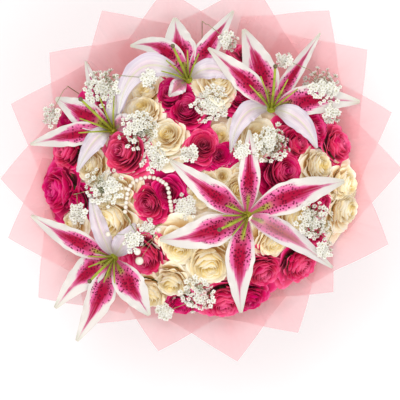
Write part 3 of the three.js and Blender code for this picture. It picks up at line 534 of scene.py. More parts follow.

# %% [markdown]
# ## The colour of a rose petal
#
# A petal is dark and full at its base, painted shade where little light reaches it, and pale at its rim, a
# painted highlight where the edge catches the light. The heart of the bloom has its own colour. A noise
# breaks the highlight at the rim, so no two petals end alike.

# %% The colour of a rose petal
PETAL_COLOUR, given, out = group_of(
    "petal_colour", {"Color": "Deep Heart Middle Rim", "Float": "Along Ring Luck", "Vector": "Place"},
    {"Color": "Color", "Float": "Height"})
body = given["Ring"].span(0.05, 0.5).mix(given["Heart"], given["Middle"])
# Painted shade darkens the base of each petal.
body = given["Along"].span(0.25, 0.85).mix(given["Deep"], body)
# A painted highlight, broken by a noise, lightens the rim of each petal.
rim = given["Along"].span(0.78, 1.0, 0.0, 0.85) * given["Place"].noise(90.0, 3.0).span(0.3, 0.6)
body = rim.mix(body, given["Rim"])
luck = given["Luck"]
toned = luck.into("HueSaturation", Color=body, Hue=luck * 0.004 + 0.5, Saturation=luck * -0.07 + 1.0,
                  Value=luck * 0.1 + 1.0)
put(out, Color=toned, Height=given["Place"].noise(600.0, 4.0))
print("petal_colour has", len(PETAL_COLOUR.nodes), "nodes")

# %% [markdown]
# ## Where a lily's colours lie
#
# From the midrib outwards a tepal is crimson, then pink, then white. Each border is a soft step over the
# distance from the midrib, made uneven by two drawn-out noises and narrowed towards the tip by `taper`.

# %% Where a lily's colours lie
LILY_COLOUR, given, out = group_of(
    "lily_colour", {"Float": "Across Along Luck Reverse", "Vector": "Place"},
    {"Color": "Color", "Float": "Spots"})
across, along = given["Across"], given["Along"]
side = (across + -0.5).math("ABSOLUTE") * 2.0
streak = drawn_noise((across, along, given["Luck"]), (26.0, 3.0, 9.0), 3.0)
cloud = drawn_noise((across, along, given["Luck"]), (2.2, 5.0, 7.0), 2.0)
wobble = side + ((streak + -0.5) * 0.5 + (cloud + -0.5) * 0.55)
taper = along.span(0.15, 0.45, -0.16, 0.0) + along.span(0.36, 0.88, 0.0, 0.7)
pink_zone = (wobble + taper).span(0.86, 0.6) * along.span(0.96, 0.8)
band = (wobble + taper * 0.6).span(0.6, 0.24) * along.span(0.08, 0.36) * along.span(0.97, 0.76)
print("the borders take", len(LILY_COLOUR.nodes), "nodes")

# %% [markdown]
# ## The face and the back of a tepal
#
# The face is laid over in turn: white, pink, crimson, a darker greyish green at the tip, which is partly the
# tepal's own colour and partly painted shade, a pale rib, the green nectary at the throat and the spots,
# which are the dots of a Voronoi pattern kept to the pink zone. The back is white, with painted shade in
# lavender towards its margins, a pink flush that shines through, thin veins and a greenish rib. `Reverse`
# chooses it.

# %% The face and the back of a tepal
face = pink_zone.mix(colour(233, 226, 220), colour(234, 104, 164))
face = band.mix(face, colour(172, 0, 56))
# The tips turn a darker greyish green: partly the tepal's own colour, partly painted shade.
face = along.span(0.86, 1.0, 0.0, 0.6).mix(face, colour(222, 222, 196))
rib = side.span(0.09, 0.02) * along.span(0.5, 0.75) * 0.4
face = rib.mix(face, colour(226, 150, 190))
nectary = along.span(0.26, 0.16) * side.span(0.36, 0.14) * 0.85
face = nectary.mix(face, colour(164, 180, 44))
cells = along.into("TexVoronoi", {"feature": "F1"}, "Distance", Vector=given["Place"], Scale=330.0,
                   Randomness=0.85)
spots = cells.span(0.42, 0.3) * along.span(0.06, 0.14) * along.span(0.66, 0.4)
spots = spots * side.span(0.86, 0.7) * pink_zone.span(0.15, 0.5) * (given["Reverse"] * -1.0 + 1.0)
face = (spots * 0.92).mix(face, colour(104, 0, 40))

# Painted shade: the back turns lavender towards its margins.
rear = wobble.span(0.3, 1.0).mix(colour(234, 229, 228), colour(222, 208, 220))
flush = wobble.span(0.7, 0.2) * along.span(0.12, 0.4) * along.span(0.9, 0.55) * 0.4
rear = flush.mix(rear, colour(232, 184, 206))
veins = streak.span(0.4, 0.62) * along.span(0.0, 0.2) * 0.4
rear = veins.mix(rear, colour(204, 186, 206))
rear = (side.span(0.14, 0.03) * 0.6).mix(rear, colour(216, 216, 176))
put(out, Color=given["Reverse"].mix(face, rear), Spots=spots + streak * 0.35)
print("lily_colour has", len(LILY_COLOUR.nodes), "nodes")

# %% [markdown]
# ## Petal materials
#
# The materials give the effects their numbers and pass the colours on to the Principled shader. Petals
# are thin and let light through. A very small glow in the petal's own colour stands for that light, which
# is quicker than true scattering inside a surface that has no thickness. A tepal shows its back where it
# is seen from behind, and where its fact `ring` says that it has rolled over.


# %% Petal materials
def rose_material(name, deep, heart, middle, rim, sheen, glow):
    """A rose petal: its colour runs from painted shade at the base to a painted highlight at the rim, with a
    soft velvet sheen and a glow that stands for the light through the petal.
    """
    made, tree, shader = material(name, Roughness=0.55, Specular_IOR_Level=0.25, Sheen_Weight=sheen,
                                   Sheen_Roughness=0.4, Emission_Strength=glow)
    place, _, up = place_of(tree)
    effect = node(tree, "Group", {"node_tree": PETAL_COLOUR}, Deep=colour(*deep), Heart=colour(*heart),
                  Middle=colour(*middle), Rim=colour(*rim), Along=up, Ring=fact_of(tree, "ring"),
                  Luck=fact_of(tree, "luck"), Place=place).outputs
    put(shader, Base_Color=Value(effect["Color"]), Emission_Color=Value(effect["Color"]))
    roughen(shader, Value(effect["Height"]), 0.25, 0.0006)
    return made


# Of each rose the first colour is painted shade at the petal base and the last a painted highlight at the
# rim.
ROSE_PINK = rose_material("rose_pink", (112, 0, 42), (200, 0, 86), (230, 12, 106), (255, 112, 172),
                          0.04, 0.06)
ROSE_CREAM = rose_material("rose_cream", (222, 178, 106), (248, 227, 154), (252, 240, 209), (255, 252, 243),
                           0.06, 0.08)

LILY_PETAL, tree, shader = material("lily_petal", Roughness=0.5, Specular_IOR_Level=0.15)
place, across, up = place_of(tree)
back = Value(node(tree, "NewGeometry").outputs["Backfacing"]).math("MAXIMUM", fact_of(tree, "ring"))
effect = node(tree, "Group", {"node_tree": LILY_COLOUR}, Across=across, Along=up, Luck=fact_of(tree, "luck"),
              Reverse=back, Place=place).outputs
put(shader, Base_Color=Value(effect["Color"]))
roughen(shader, Value(effect["Spots"]), 0.6, 0.0008)
print("materials of the petals:", ROSE_PINK.name, ROSE_CREAM.name, LILY_PETAL.name)

# %% [markdown]
# ## Plain materials
#
# Stems, florets, pearls and satin need only a colour that wavers a little and a faintly rough surface.
# One rule with a few numbers makes them all. A floret's petals are greenish at their foot, its eye, and
# they glow faintly white, which is painted light.


# %% Plain materials
def plain_material(name, low, high, scale, eye=None, **principled):
    """A colour that varies between two shades with a fine noise, which also roughens the surface. An eye
    is a third colour at the foot of the UV map."""
    made, tree, shader = material(name, **principled)
    place, _, up = place_of(tree)
    grain = place.noise(scale, 4.0)
    shade = grain.span(0.3, 0.7).mix(colour(*low), colour(*high))
    if eye:
        shade = up.span(0.0, 0.45).mix(colour(*eye), shade)
    put(shader, Base_Color=shade)
    roughen(shader, grain, 0.15, 0.0005)
    return made


LEAF_GREEN = plain_material("leaf_green", (62, 96, 40), (110, 140, 62), 80.0, Roughness=0.55)
STEM_GREEN = plain_material("stem_green", (70, 110, 48), (112, 148, 74), 60.0, Roughness=0.5)
CUT_END = plain_material("stem_cut", (196, 205, 150), (226, 230, 190), 300.0, Roughness=0.7)
TWIG_GREEN = plain_material("twig_green", (134, 138, 88), (170, 172, 120), 200.0, Roughness=0.6)
# The florets glow faintly white: painted light that keeps them bright among the blooms.
FLORET = plain_material("floret_white", (228, 225, 214), (248, 247, 241), 500.0, eye=(188, 184, 138),
                        Roughness=0.7, Emission_Color=colour(250, 250, 244), Emission_Strength=0.06)
STYLE_GREEN = plain_material("style_green", (140, 152, 30), (176, 184, 52), 150.0, Roughness=0.45)
STIGMA = plain_material("stigma", (80, 70, 44), (124, 108, 70), 400.0, Roughness=0.5)
PEARL = plain_material("pearl", (236, 226, 208), (250, 244, 234), 120.0, Roughness=0.22, Coat_Weight=0.5,
                       Coat_Roughness=0.1)
RIBBON = plain_material("ribbon_satin", (222, 120, 146), (236, 146, 166), 900.0, Roughness=0.32,
                        Sheen_Weight=0.3)
print("the florets are", FLORET.name, "and the pearls", PEARL.name)

# %% [markdown]
# ## Film
#
# The wrap is thin pink film. Its alpha lets the layers below show, so the corners are pale and the
# overlaps deeper, as in any stack of clear sheets. Its colour is a deeper pink low on each sheet, partly the
# tint of the stacked layers and partly painted shade under the blooms, and it glows a little in that colour,
# painted light for the light that passes through the film. A noise drawn out along the sheet bends the
# shading into long pleats. It could be glass-like with true refraction, but film this thin hardly bends
# light.

# %% Film
FILM, tree, shader = material("film_pink", Roughness=0.4, Specular_IOR_Level=0.3, Emission_Strength=0.3)
place, across, up = place_of(tree)
shade = place.noise(22.0, 3.0).mix(colour(228, 144, 148), colour(234, 157, 158))
# Partly painted shade: the pink is deeper low on each sheet, under the blooms, and paler towards the corners.
shade = up.span(0.55, 0.95).mix(shade, colour(226, 166, 171))
# The film glows in its own colour: painted light for the light that passes through it.
put(shader, Base_Color=shade, Emission_Color=shade, Alpha=up.span(0.6, 1.0, 0.9, 0.5))
roughen(shader, drawn_noise((across, up, fact_of(tree, "luck")), (11.0, 1.3, 6.0), 2.0), 0.55, 0.012)
print(len(bpy.data.materials), "materials")

# %% [markdown]
# ## The room round a rose
#
# The petals of neighbouring roses press flat against each other, so a bloom ends where its neighbour
# begins. Cutting the petals at those planes would leave hard edges, so the room is a soft blend of them.


# %% The room round a rose
ROOM_SLACK, THROAT_ROOM = 1.05, 3.0
EDGE_START, EDGE_END, EDGE_LESS = 110, 150, 0.35  # from the middle of the dome, and the room that it costs


def room_round(rose, angle, most):
    """How far the rose may open in each direction, in radii. The plane that parts it from a neighbour lies
    at d / cos(angle between). Adding seventh powers rounds the corners where planes meet. The room is
    held between 0.9 and most, and is a little less outwards at the edge of the dome."""
    across, over = axes_of(rose["axis"])
    others = [(other["center"], other["r"]) for other in roses if other is not rose]
    others += [(on_dome(*throat), THROAT_ROOM) for throat, _, _ in LILIES]
    way = np.array([center - rose["center"] for center, _ in others])
    away = np.linalg.norm(way, axis=1)
    near = away < 4 * rose["r"]
    radii = np.array([r for _, r in others])[near]
    way, away = way[near], away[near]
    toward = np.arctan2(way @ over, way @ across)
    plane = away * rose["r"] / (rose["r"] + radii)
    free = (np.maximum(np.cos(angle[..., None] - toward), 1e-3) / plane) ** 7
    free = free.sum(axis=-1) ** (-1 / 7) / rose["r"] * ROOM_SLACK
    plan = rose["center"][:2]
    outward = np.arctan2(plan @ over[:2], plan @ across[:2])
    edge = smooth(np.hypot(*plan), EDGE_START, EDGE_END) * np.maximum(0, np.cos(angle - outward))
    return np.clip(free, 0.9, most - EDGE_LESS * edge)


def round_axis(rose, scale, angle, radius, height):
    """Points in polar coordinates about a bloom's axis: center + scale (radius + height)."""
    across, over = axes_of(rose["axis"])
    plan = (np.cos(angle) * radius)[..., None] * across + (np.sin(angle) * radius)[..., None] * over
    return rose["center"] + scale * (plan + height[..., None] * rose["axis"])


print("a rose may open by up to", room_round(roses[0], np.linspace(0, TAU, 60), 1.55).max().round(2), "radii")

# %% [markdown]
# ## The shape of a rose petal
#
# A rose is a spiral of petals, each turned on from the last by the golden angle. The inner ones stand
# upright and wrap far round the heart, and the outer ones open and curl back at the rim. `t` counts the
# petals from the heart outwards, `v` runs from the base of a petal to its rim and `u` across it. The
# guards are the lowest petals. They open into the gaps, so no stem shows from above.

# %% The shape of a rose petal
PETAL_FOOT = -0.75  # where the petals start, in radii from the bloom's middle along its axis
ROSE_SWELL = 1.13  # the petals' radius for each radius of the layout
FILM_CLEAR = 1.5


def petal_shape(t, guard, u, v, luck, openness):
    """Radius and height of petals, in radii of the bloom, before they open into their room.

    Petal t reaches the radius 0.1 + 0.8 t^0.8 and the height 0.6 - 0.12 t - 0.32 t^3. Along it the radius
    follows a sine and the height v^0.85. At the rim the outer petals curl out and down, and ruffle."""
    w = v * (1 - (0.08 + 0.14 * t) * np.abs(u) ** 2.4)
    reach = (0.1 + 0.8 * t**0.8) * (1 + 0.07 * luck[1])
    top = 0.6 - 0.12 * t - 0.32 * t**3 + 0.06 * luck[2] - 0.34 * guard
    curl = openness * t**1.3 * smooth(w, 0.68, 1.0) * (1 - 0.35 * u * u)
    ruffle = v**3 * (0.3 + 0.7 * t)
    radius = reach * np.sin(np.pi / 2 * np.clip(w / 0.8, 0, 1)) ** 1.15 * (1 + 0.09 * u * (1 - 0.4 * t))
    radius = radius + 0.24 * curl + 0.06 * ruffle * np.sin(4.4 * u + 6 * luck[3])
    height = PETAL_FOOT + (top - PETAL_FOOT) * np.maximum(w, 0) ** 0.85 - 0.2 * curl**1.6
    return radius, height + 0.1 * ruffle * np.sin(5.3 * u + 5 * luck[1])


def rose_petals(rose, rng, petals, openness, guards=8, rows=10, cols=11):
    """All petals of a rose as grids (petals, rows, cols, 3), with their ring and luck. The outer petals
    fill the room round the rose, and none goes through the film."""
    t = np.append(np.arange(petals) / (petals - 1), np.ones(guards))[:, None, None]
    guard = np.append(np.zeros(petals), np.linspace(0.6, 1, guards))[:, None, None]
    number = np.arange(petals + guards)[:, None, None]
    v = np.linspace(0, 1, rows)[None, :, None]
    u = np.linspace(-1, 1, cols)[None, None, :]
    luck = rng.uniform(-1, 1, (4, petals + guards, 1, 1))
    turn = GOLDEN * number + rng.uniform(0, TAU) + 0.2 * luck[0]
    half = (1.75 - 1.0 * np.sqrt(t) + 0.25 * guard) * (1 + 0.12 * luck[3])
    angle = turn + half * u * (0.55 + 0.45 * smooth(v, 0, 0.6))
    radius, height = petal_shape(t, guard, u, v, luck, openness)
    room = room_round(rose, turn + 0.45 * (angle - turn), 1.55 + 0.65 * guard) * (1 + 0.14 * guard)
    share = smooth(t, 0.25, 0.95)
    spread = 1 + share * (room / (ROSE_SWELL * (0.9 + 0.24 * openness)) - 1)
    height = height - 0.25 * share * np.maximum(0, spread - 1) * v
    points = round_axis(rose, ROSE_SWELL * rose["r"], angle, radius * spread, height)
    film = collar_height(np.hypot(points[..., 0], points[..., 1]))
    points[..., 2] = np.maximum(points[..., 2], film + FILM_CLEAR + 3 * smooth(v, 0.6, 1.0))
    return points, t, luck[0]


points, _, _ = rose_petals(roses[0], np.random.default_rng(1), 34, 0.8)
print("a rose is", len(points), "petals of", points.shape[1], "by", points.shape[2], "points")

# %% [markdown]
# ## All roses
#
# Each CAD node of roses becomes one mesh with its blooms, each on a green cup with five sepals. The whole
# bloom gets a tone of its own and every petal a small step from it, because roses from one field still
# differ in colour.


# %% All roses
def sepals(pile, rose, slot):
    """The green cup under a rose and its five narrow sepals."""
    s = np.linspace(0, 1, 7)[None, :, None]
    a = np.linspace(-1, 1, 3)[None, None, :]
    turn = (TAU * np.arange(5) / 5)[:, None, None] + a * 0.42 * (1 - s) ** 0.5
    radius = 0.16 + 0.72 * s - 0.1 * a * a
    height = -0.8 + 0.34 * s**1.5 + 0.05 * a * a
    pile.grids(round_axis(rose, rose["r"], turn, radius, height), slot=slot)
    foot = rose["center"] - 0.72 * rose["r"] * rose["axis"]
    balls(pile, [foot], 0.2 * rose["r"], rows=7, sides=8, slot=slot)


rng = np.random.default_rng(7)
for kind, groups, petal, slot_name, petals, openness in (
        ("pink", pink, ROSE_PINK, "rose_pink", 34, 0.8), ("white", white, ROSE_CREAM, "rose_cream", 36, 1.0)):
    for i, group in enumerate(groups):
        pile = Pile()
        for rose in group:
            points, ring, luck = rose_petals(rose, rng, petals, openness)
            pile.grids(points, ring=ring, luck=0.6 * luck + rng.uniform(-0.9, 0.6))
            sepals(pile, rose, 1)
        pile.mesh(f"rose_{kind}_{i + 1:02d}", "petals", [petal, LEAF_GREEN], slot_name)
print(len(roses), "roses made")

# %% [markdown]
# ## The rows of a tepal
#
# A lily's tepal is a long sheet that bends in plan and lies over the blooms beside its throat. Here the
# frame's six coarse rows are worked out again, so the fine tepal lies where the solid one does.

# %% The rows of a tepal
TEPAL_STATIONS = np.array([  # share of the length, half width, height and lift of the edges
    (0.0, 0.12, -2, 0), (0.16, 0.36, 19, 2), (0.36, 0.92, 29, 1),
    (0.58, 1.0, 31, -2.5), (0.8, 0.66, 26, -1), (1.0, 0.1, 17, 0)])
TEPAL_CLEAR, TEPAL_WAVE, TEPAL_RISE, LIFT_SHARE, TEPAL_BUMP, ROLL_DIP = 3, 1.2, 0.36, 0.3, 8, 0.7


def bend(start, middle, tip, share):
    """The quadratic curve that passes through middle half way, and its direction."""
    control = 2 * middle - 0.5 * start - 0.5 * tip
    s = np.asarray(share, float)[:, None]
    point = (1 - s) ** 2 * start + 2 * s * (1 - s) * control + s * s * tip
    way = 2 * (1 - s) * (control - start) + 2 * s * (tip - control)
    return point, unit(way)


def with_middles(values):
    """The values from the second station on, and then the means between them."""
    return np.concatenate([values[1:], (values[2:] + values[1:-1]) / 2])


def tepal_rows(throat, spec):
    """The frame's rows of a tepal: left edge, midrib and right edge at each station, shape (6, 3, 3)."""
    share, width, height, edge = TEPAL_STATIONS.T
    throat, middle, tip = np.array(throat, float), np.array(spec[:2], float), np.array(spec[2:4], float)
    start = throat + 0.7 * THROAT_RADIUS * unit(middle - throat)
    plan, way = bend(start, middle, tip, share)
    ground = np.maximum(dome(*plan.T), collar_height(np.hypot(*plan.T)) + COLLAR_FOLD)
    rise = np.minimum(1, share / TEPAL_RISE)
    z = (1 - rise) * dome(*throat) + rise * ground + height
    half = spec[4] * width * TEPAL_HALF_WIDTH
    turn = np.radians(spec[5]) * rise
    places = bend(start, middle, tip, with_middles(share))[0]
    reach = with_middles(half)
    dip = ROLL_DIP * reach * np.abs(np.sin(np.append(turn[1:], turn[2:])))
    need = cover(*places.T, reach) + TEPAL_CLEAR + dip - with_middles(z)
    lift = max(0, (need / np.minimum(1, with_middles(share) / LIFT_SHARE)).max())
    z = z + lift * np.minimum(1, share / LIFT_SHARE)
    side = np.stack([-way[:, 1], way[:, 0], 0 * z], axis=1)
    side = (side * np.cos(turn)[:, None] + UP * np.sin(turn)[:, None]) * half[:, None]
    rows = np.column_stack([plan, z])[:, None] + np.array([-1, 0, 1])[None, :, None] * side[:, None]
    wave = np.where(np.arange(len(share)) % 2, 1, -1) * TEPAL_WAVE * (share > 0)
    rows[:, 0, 2] += edge - wave
    rows[:, 2, 2] += edge + wave
    return rows


print("rows of the first tepal:", tepal_rows(LILIES[0][0], LILIES[0][2][0]).shape)

# %% [markdown]
# ## The surface of a tepal
#
# The coarse rows are joined by smooth curves and filled across by a parabola. The midrib is a narrow
# groove and the margin a wave, both simple terms added to the height. Sculpting could give each tepal more
# life, yet a wave whose length drifts already keeps both margins from looking alike.

# %% The surface of a tepal
TEPAL_STEPS, TEPAL_ACROSS = 60, 23
FINE_WIDTH = np.array([2.2, 2.5, 1.48, 1.2, 1.1, 1.6])  # how much wider than the coarse row at each station


def tepal_surface(rows, rng):
    """A fine tepal through the left, middle and right points L, M and R of the coarse rows.

    Across it runs M + a (R - L) / 2 + a^2 (R + L - 2M) / 2. Added to its height are a midrib groove
    -1.5 exp(-(a / 0.14)^2) between two ridges, margins that wave by a^4 sin(k s), and a nodding tip."""
    s = np.linspace(0, 1, TEPAL_STEPS)
    rows = rows[:, 1:2] + (rows - rows[:, 1:2]) * FINE_WIDTH[:, None, None]
    left, middle, right = (through(TEPAL_STATIONS[:, 0], rows[:, j], s)[:, None] for j in range(3))
    a = np.linspace(-1, 1, TEPAL_ACROSS)[None, :, None]
    points = middle + a * (right - left) / 2 + a * a * (right + left - 2 * middle) / 2
    a = a[..., 0]
    phase = rng.uniform(0, TAU, 2)
    left_wave = np.sin(phase[0] + 27 * s + 1.9 * np.sin(9 * s))[:, None]
    right_wave = np.sin(phase[1] + 24 * s + 1.9 * np.sin(11 * s + 1))[:, None]
    margin = np.where(a < 0, left_wave, right_wave)
    fold = -1.5 * np.exp(-((a / 0.14) ** 2)) + 0.7 * np.exp(-(((np.abs(a) - 0.3) / 0.16) ** 2))
    strength = (smooth(s, 0.12, 0.4) * (1 - 0.6 * smooth(s, 0.75, 1)))[:, None]
    points[..., 2] += strength * (fold + (1.9 * margin + 0.6) * a**4)
    points[..., 2] -= 2.2 * (smooth(s, 0.8, 1.0) ** 2)[:, None] * (0.4 + a * a)
    points = points + (middle - points) * (0.035 * margin * strength * a**4)[..., None]
    return points[:, ::-1]


print("a fine tepal has", (TEPAL_STEPS - 1) * (TEPAL_ACROSS - 1), "faces")

# %% [markdown]
# ## All lilies
#
# The six tepals of a lily stand on a short green tube. Once a lily is made its tepals join the bumps, so
# the next lily, the pearls and the florets lie over them.


# %% All lilies
def tepal_bumps(rows):
    """The bumps of one tepal, at its rows and half way between them."""
    places = [rows[1]]
    for before, row in zip(rows[1:], rows[2:]):
        places += [row, (row + before) / 2]
    return [(x, y, z + 1.5 - TEPAL_BUMP, TEPAL_BUMP) for x, y, z in np.concatenate(places)]


tube_heights, tube_radii = np.linspace(-12, 1, 9), np.linspace(3.2, 5.6, 9)
for i, (throat, _, tepals) in enumerate(LILIES):
    all_rows = [tepal_rows(throat, spec) for spec in tepals]
    pile = Pile()
    for rows, spec in zip(all_rows, tepals):
        pile.grids(tepal_surface(rows, rng), luck=rng.uniform(-1, 1), ring=spec[6])
        bumps += tepal_bumps(rows)
    tubes(pile, on_dome(*throat) + np.outer(tube_heights, UP), tube_radii, sides=14, slot=1)
    pile.mesh(f"lily_{i + 1:02d}", "tepals", [LILY_PETAL, STYLE_GREEN], "lily_petal")
print(len(LILIES), "lilies,", len(bumps), "bumps so far")

# %% [markdown]
# ## Pistils and filaments
#
# Out of each throat comes one long green style with a dark stigma, and a fan of thinner filaments, whose
# anthers the florist has taken off. They are tubes along smooth curves.

# %% Pistils
PISTIL_SHARES, PISTIL_HEIGHTS, PISTIL_CLEAR, STYLE_STEPS = [0, 0.3, 1.0], [0, 38, 48], 4, 18
STYLE_RADII, FILAMENT_RADII = np.linspace(1.7, 1.3, STYLE_STEPS), np.linspace(1.25, 0.65, STYLE_STEPS)
STIGMA_RADII = [1.3, 1.9, 2.4, 2.6, 2.4, 1.7, 0.3]
FILAMENTS, FILAMENT_LENGTH, FILAMENT_TURN, FILAMENT_LOWER, FILAMENT_ASIDE = 5, 0.78, 0.42, 0.8, 1.9


def turned(way, angle):
    """A direction in plan, turned by an angle."""
    cos, sin = np.cos(angle), np.sin(angle)
    return np.array([way[0] * cos - way[1] * sin, way[0] * sin + way[1] * cos])


def style_path(root, reach, length=1, turn=0, lower=1, offset=0):
    """The frame's three points of a style, drawn as a smooth curve. A filament is a style that is shorter,
    lower, turned and set aside by an offset."""
    aside = offset * unit(turned(reach, 2.2 * turn))
    points = []
    for share, height in zip(PISTIL_SHARES, PISTIL_HEIGHTS):
        x, y = root[:2] + turned(reach, turn) * share * length + aside
        z = root[2] + height * lower + 1
        points.append((x, y, z if share == 0 else max(z, float(cover(x, y, 2.0)) + PISTIL_CLEAR)))
    return through(PISTIL_SHARES, np.array(points), np.linspace(0, 1, STYLE_STEPS))


for i, (throat, end, _) in enumerate(LILIES):
    root = on_dome(*throat) + UP * (1 + SEAT_GAP)
    reach = np.array(end, float) - throat
    pile = Pile()
    style = style_path(root, reach)
    tubes(pile, style, STYLE_RADII, sides=8)
    stigma = style[-1] + unit(style[-1] - style[-2]) * np.linspace(-1, 4, len(STIGMA_RADII))[:, None]
    tubes(pile, stigma, STIGMA_RADII, sides=9, slot=1)
    for k in range(FILAMENTS):
        turn = (k - FILAMENTS // 2) * FILAMENT_TURN
        filament = style_path(root, reach, FILAMENT_LENGTH, turn, FILAMENT_LOWER, FILAMENT_ASIDE)
        tubes(pile, filament, FILAMENT_RADII)
    balls(pile, [root + UP * 1.5], 3.2)
    pile.mesh(f"lily_pistil_{i + 1:02d}", "style", [STYLE_GREEN, STIGMA], "lily_green")
print(len(LILIES), "pistils with", FILAMENTS, "filaments each")

# %% [markdown]
# ## Thin stems
#
# The pearls and the baby's breath come up through gaps between the blooms. Their stems lie on the same fan
# as all others, so the lowest points of a CAD node tell through which gap its stem rises.


# %% Thin stems
def fan_point(x, y, height):
    """The point at a height on the straight way from the tie to the place (x, y) on the dome."""
    share = STEM_SPREAD / DOME_RADIUS
    low, high = np.array([x * share, y * share, TIE_TOP]), on_dome(x, y)
    return low + (high - low) * (height - TIE_TOP) / (high[2] - TIE_TOP)


def gap_of(name):
    """The plan place where a node's thin stem passes the dome, from the node's lowest ring of points."""
    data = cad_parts[name].data
    points = np.empty(len(data.vertices) * 3, np.float32)
    data.vertices.foreach_get("co", points)
    world = np.array(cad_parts[name].matrix_world)[:3, :3]
    points = points.reshape(-1, 3) / MM @ world.T
    foot = points[points[:, 2] < points[:, 2].min() + 0.1].mean(axis=0)[:2]
    return foot / (STEM_SPREAD / DOME_RADIUS)


def rising_stem(pile, name):
    """The stem of a node, from the tie up through its gap, and the point where it ends."""
    x, y = gap_of(name)
    top = np.array([x, y, float(cover(x, y, 0.8)) + 2.4])
    low = fan_point(x, y, TIE_TOP + 0.6)
    high = fan_point(x, y, max(dome(x, y), top[2] - 3))
    tubes(pile, np.array([low + (high - low) * s for s in np.linspace(0, 1, 6)] + [top]), 0.5, slot=1)
    return top


def over_branch(pile, start, end, radius):
    """A wire or branch laid over the blooms from one point to another."""
    path = start + (end - start) * np.linspace(0, 1, 14)[:, None]
    path[1:-1, 2] = np.maximum(path[1:-1, 2], cover(path[1:-1, 0], path[1:-1, 1], 1.0) + 1.6)
    tubes(pile, path, radius, slot=1)


print("the strand's stem passes the dome at", gap_of("pearl_strand").round())

# %% [markdown]
# ## A strand of pearls
#
# The strand follows a line drawn in plan and lies on whatever is below it. Forty passes of taking the mean
# of both neighbours, where that is higher, pull it taut like a real wire. Beads are set along it by
# distance, each touching the next.


# %% A strand of pearls
def evenly(path, step):
    """Points every step along a path."""
    length = np.concatenate([[0], np.cumsum(np.linalg.norm(np.diff(path, axis=0), axis=1))])
    places = np.arange(step / 2, length[-1], step)
    return np.stack([np.interp(places, length, path[:, k]) for k in range(path.shape[1])], axis=1)


def strand(pile, plan, bead):
    """Beads threaded on a wire that follows a plan path over the blooms. Gives the wire and the beads."""
    line = through(np.arange(len(plan)), np.array(plan, float), np.linspace(0, len(plan) - 1, 120))
    z = cover(line[:, 0], line[:, 1], bead) + bead
    for _ in range(40):
        z[1:-1] = np.maximum(z[1:-1], (z[:-2] + z[2:]) / 2)
    line = np.column_stack([line, z])
    tubes(pile, line, 0.45, sides=5, slot=1)
    beads = evenly(line, 2 * bead)
    balls(pile, beads, bead * 0.97)
    return line, beads


print("a path of 10 mm takes", len(evenly(np.array([[0.0, 0.0], [10.0, 0.0]]), 2 * STRAND_BEAD)), "beads")

# %% [markdown]
# ## The pearls
#
# The strand ends on a thin stem of its own, with a short side strand. The larger pearls sit on the wires
# of a pick. Both take their places among the bumps, so the florets stay clear of them.

# %% The pearls
pile = Pile()
line, beads = strand(pile, STRAND_PATH, STRAND_BEAD)
over_branch(pile, rising_stem(pile, "pearl_strand"), line[0], 0.5)
strand(pile, SIDE_STRAND, SIDE_BEAD)
bumps += [(x, y, z, STRAND_BEAD) for x, y, z in beads[::2]]
pile.mesh("pearl_strand", "beads", [PEARL, TWIG_GREEN], "pearl")

pile = Pile()
stem_top = rising_stem(pile, "pearl_pick")
for x, y, radius in PICK_PEARLS:
    center = np.array([x, y, float(cover(x, y, radius)) + radius + 1])
    balls(pile, [center], radius, rows=13, sides=18)
    over_branch(pile, stem_top, center, 0.25)
    bumps.append((x, y, center[2], radius))
pile.mesh("pearl_pick", "beads", [PEARL, TWIG_GREEN], "pearl")
print(len(beads), "beads on the strand")

# %% [markdown]
# ## One floret
#
# A floret of baby's breath is a tiny double flower. Each has two rings of five folded petals and only a few
# dozen faces, because hundreds of them are needed.


# %% One floret
def floret_grids():
    """Ten small petals of unit size as grids (10, 3, 3, 3): an open ring of five, and an upright one."""
    k = np.arange(10)[:, None, None]
    inner = k >= 5
    v = np.array([0.1, 0.6, 1.0])[None, :, None]
    u = np.array([-1.0, 0.0, 1.0])[None, None, :]
    turn = TAU * (k % 5) / 5 + np.where(inner, 0.63, 0.0)
    radius = np.where(inner, 0.62, 1.0) * v
    wide = np.where(inner, 0.34, 0.46) * np.sin(np.pi * (0.15 + 0.72 * v)) * u
    height = np.where(inner, 0.75, 0.32) * v**1.4 - 0.1 * (u * u) + 0.12 * (1 - u * u)
    cos, sin = np.cos(turn), np.sin(turn)
    return points_of(radius * cos - wide * sin, radius * sin + wide * cos, height)


FLORET_SHAPE = floret_grids()
print("a floret has", len(FLORET_SHAPE), "petals and", len(FLORET_SHAPE) * 4, "faces")

# %% [markdown]
# ## A cluster of florets
#
# The golden angle spreads the florets evenly over a disk without rows or rings. Each gets a random size
# and tilt, and its twig runs down to a hub below the middle, where real twigs meet too.


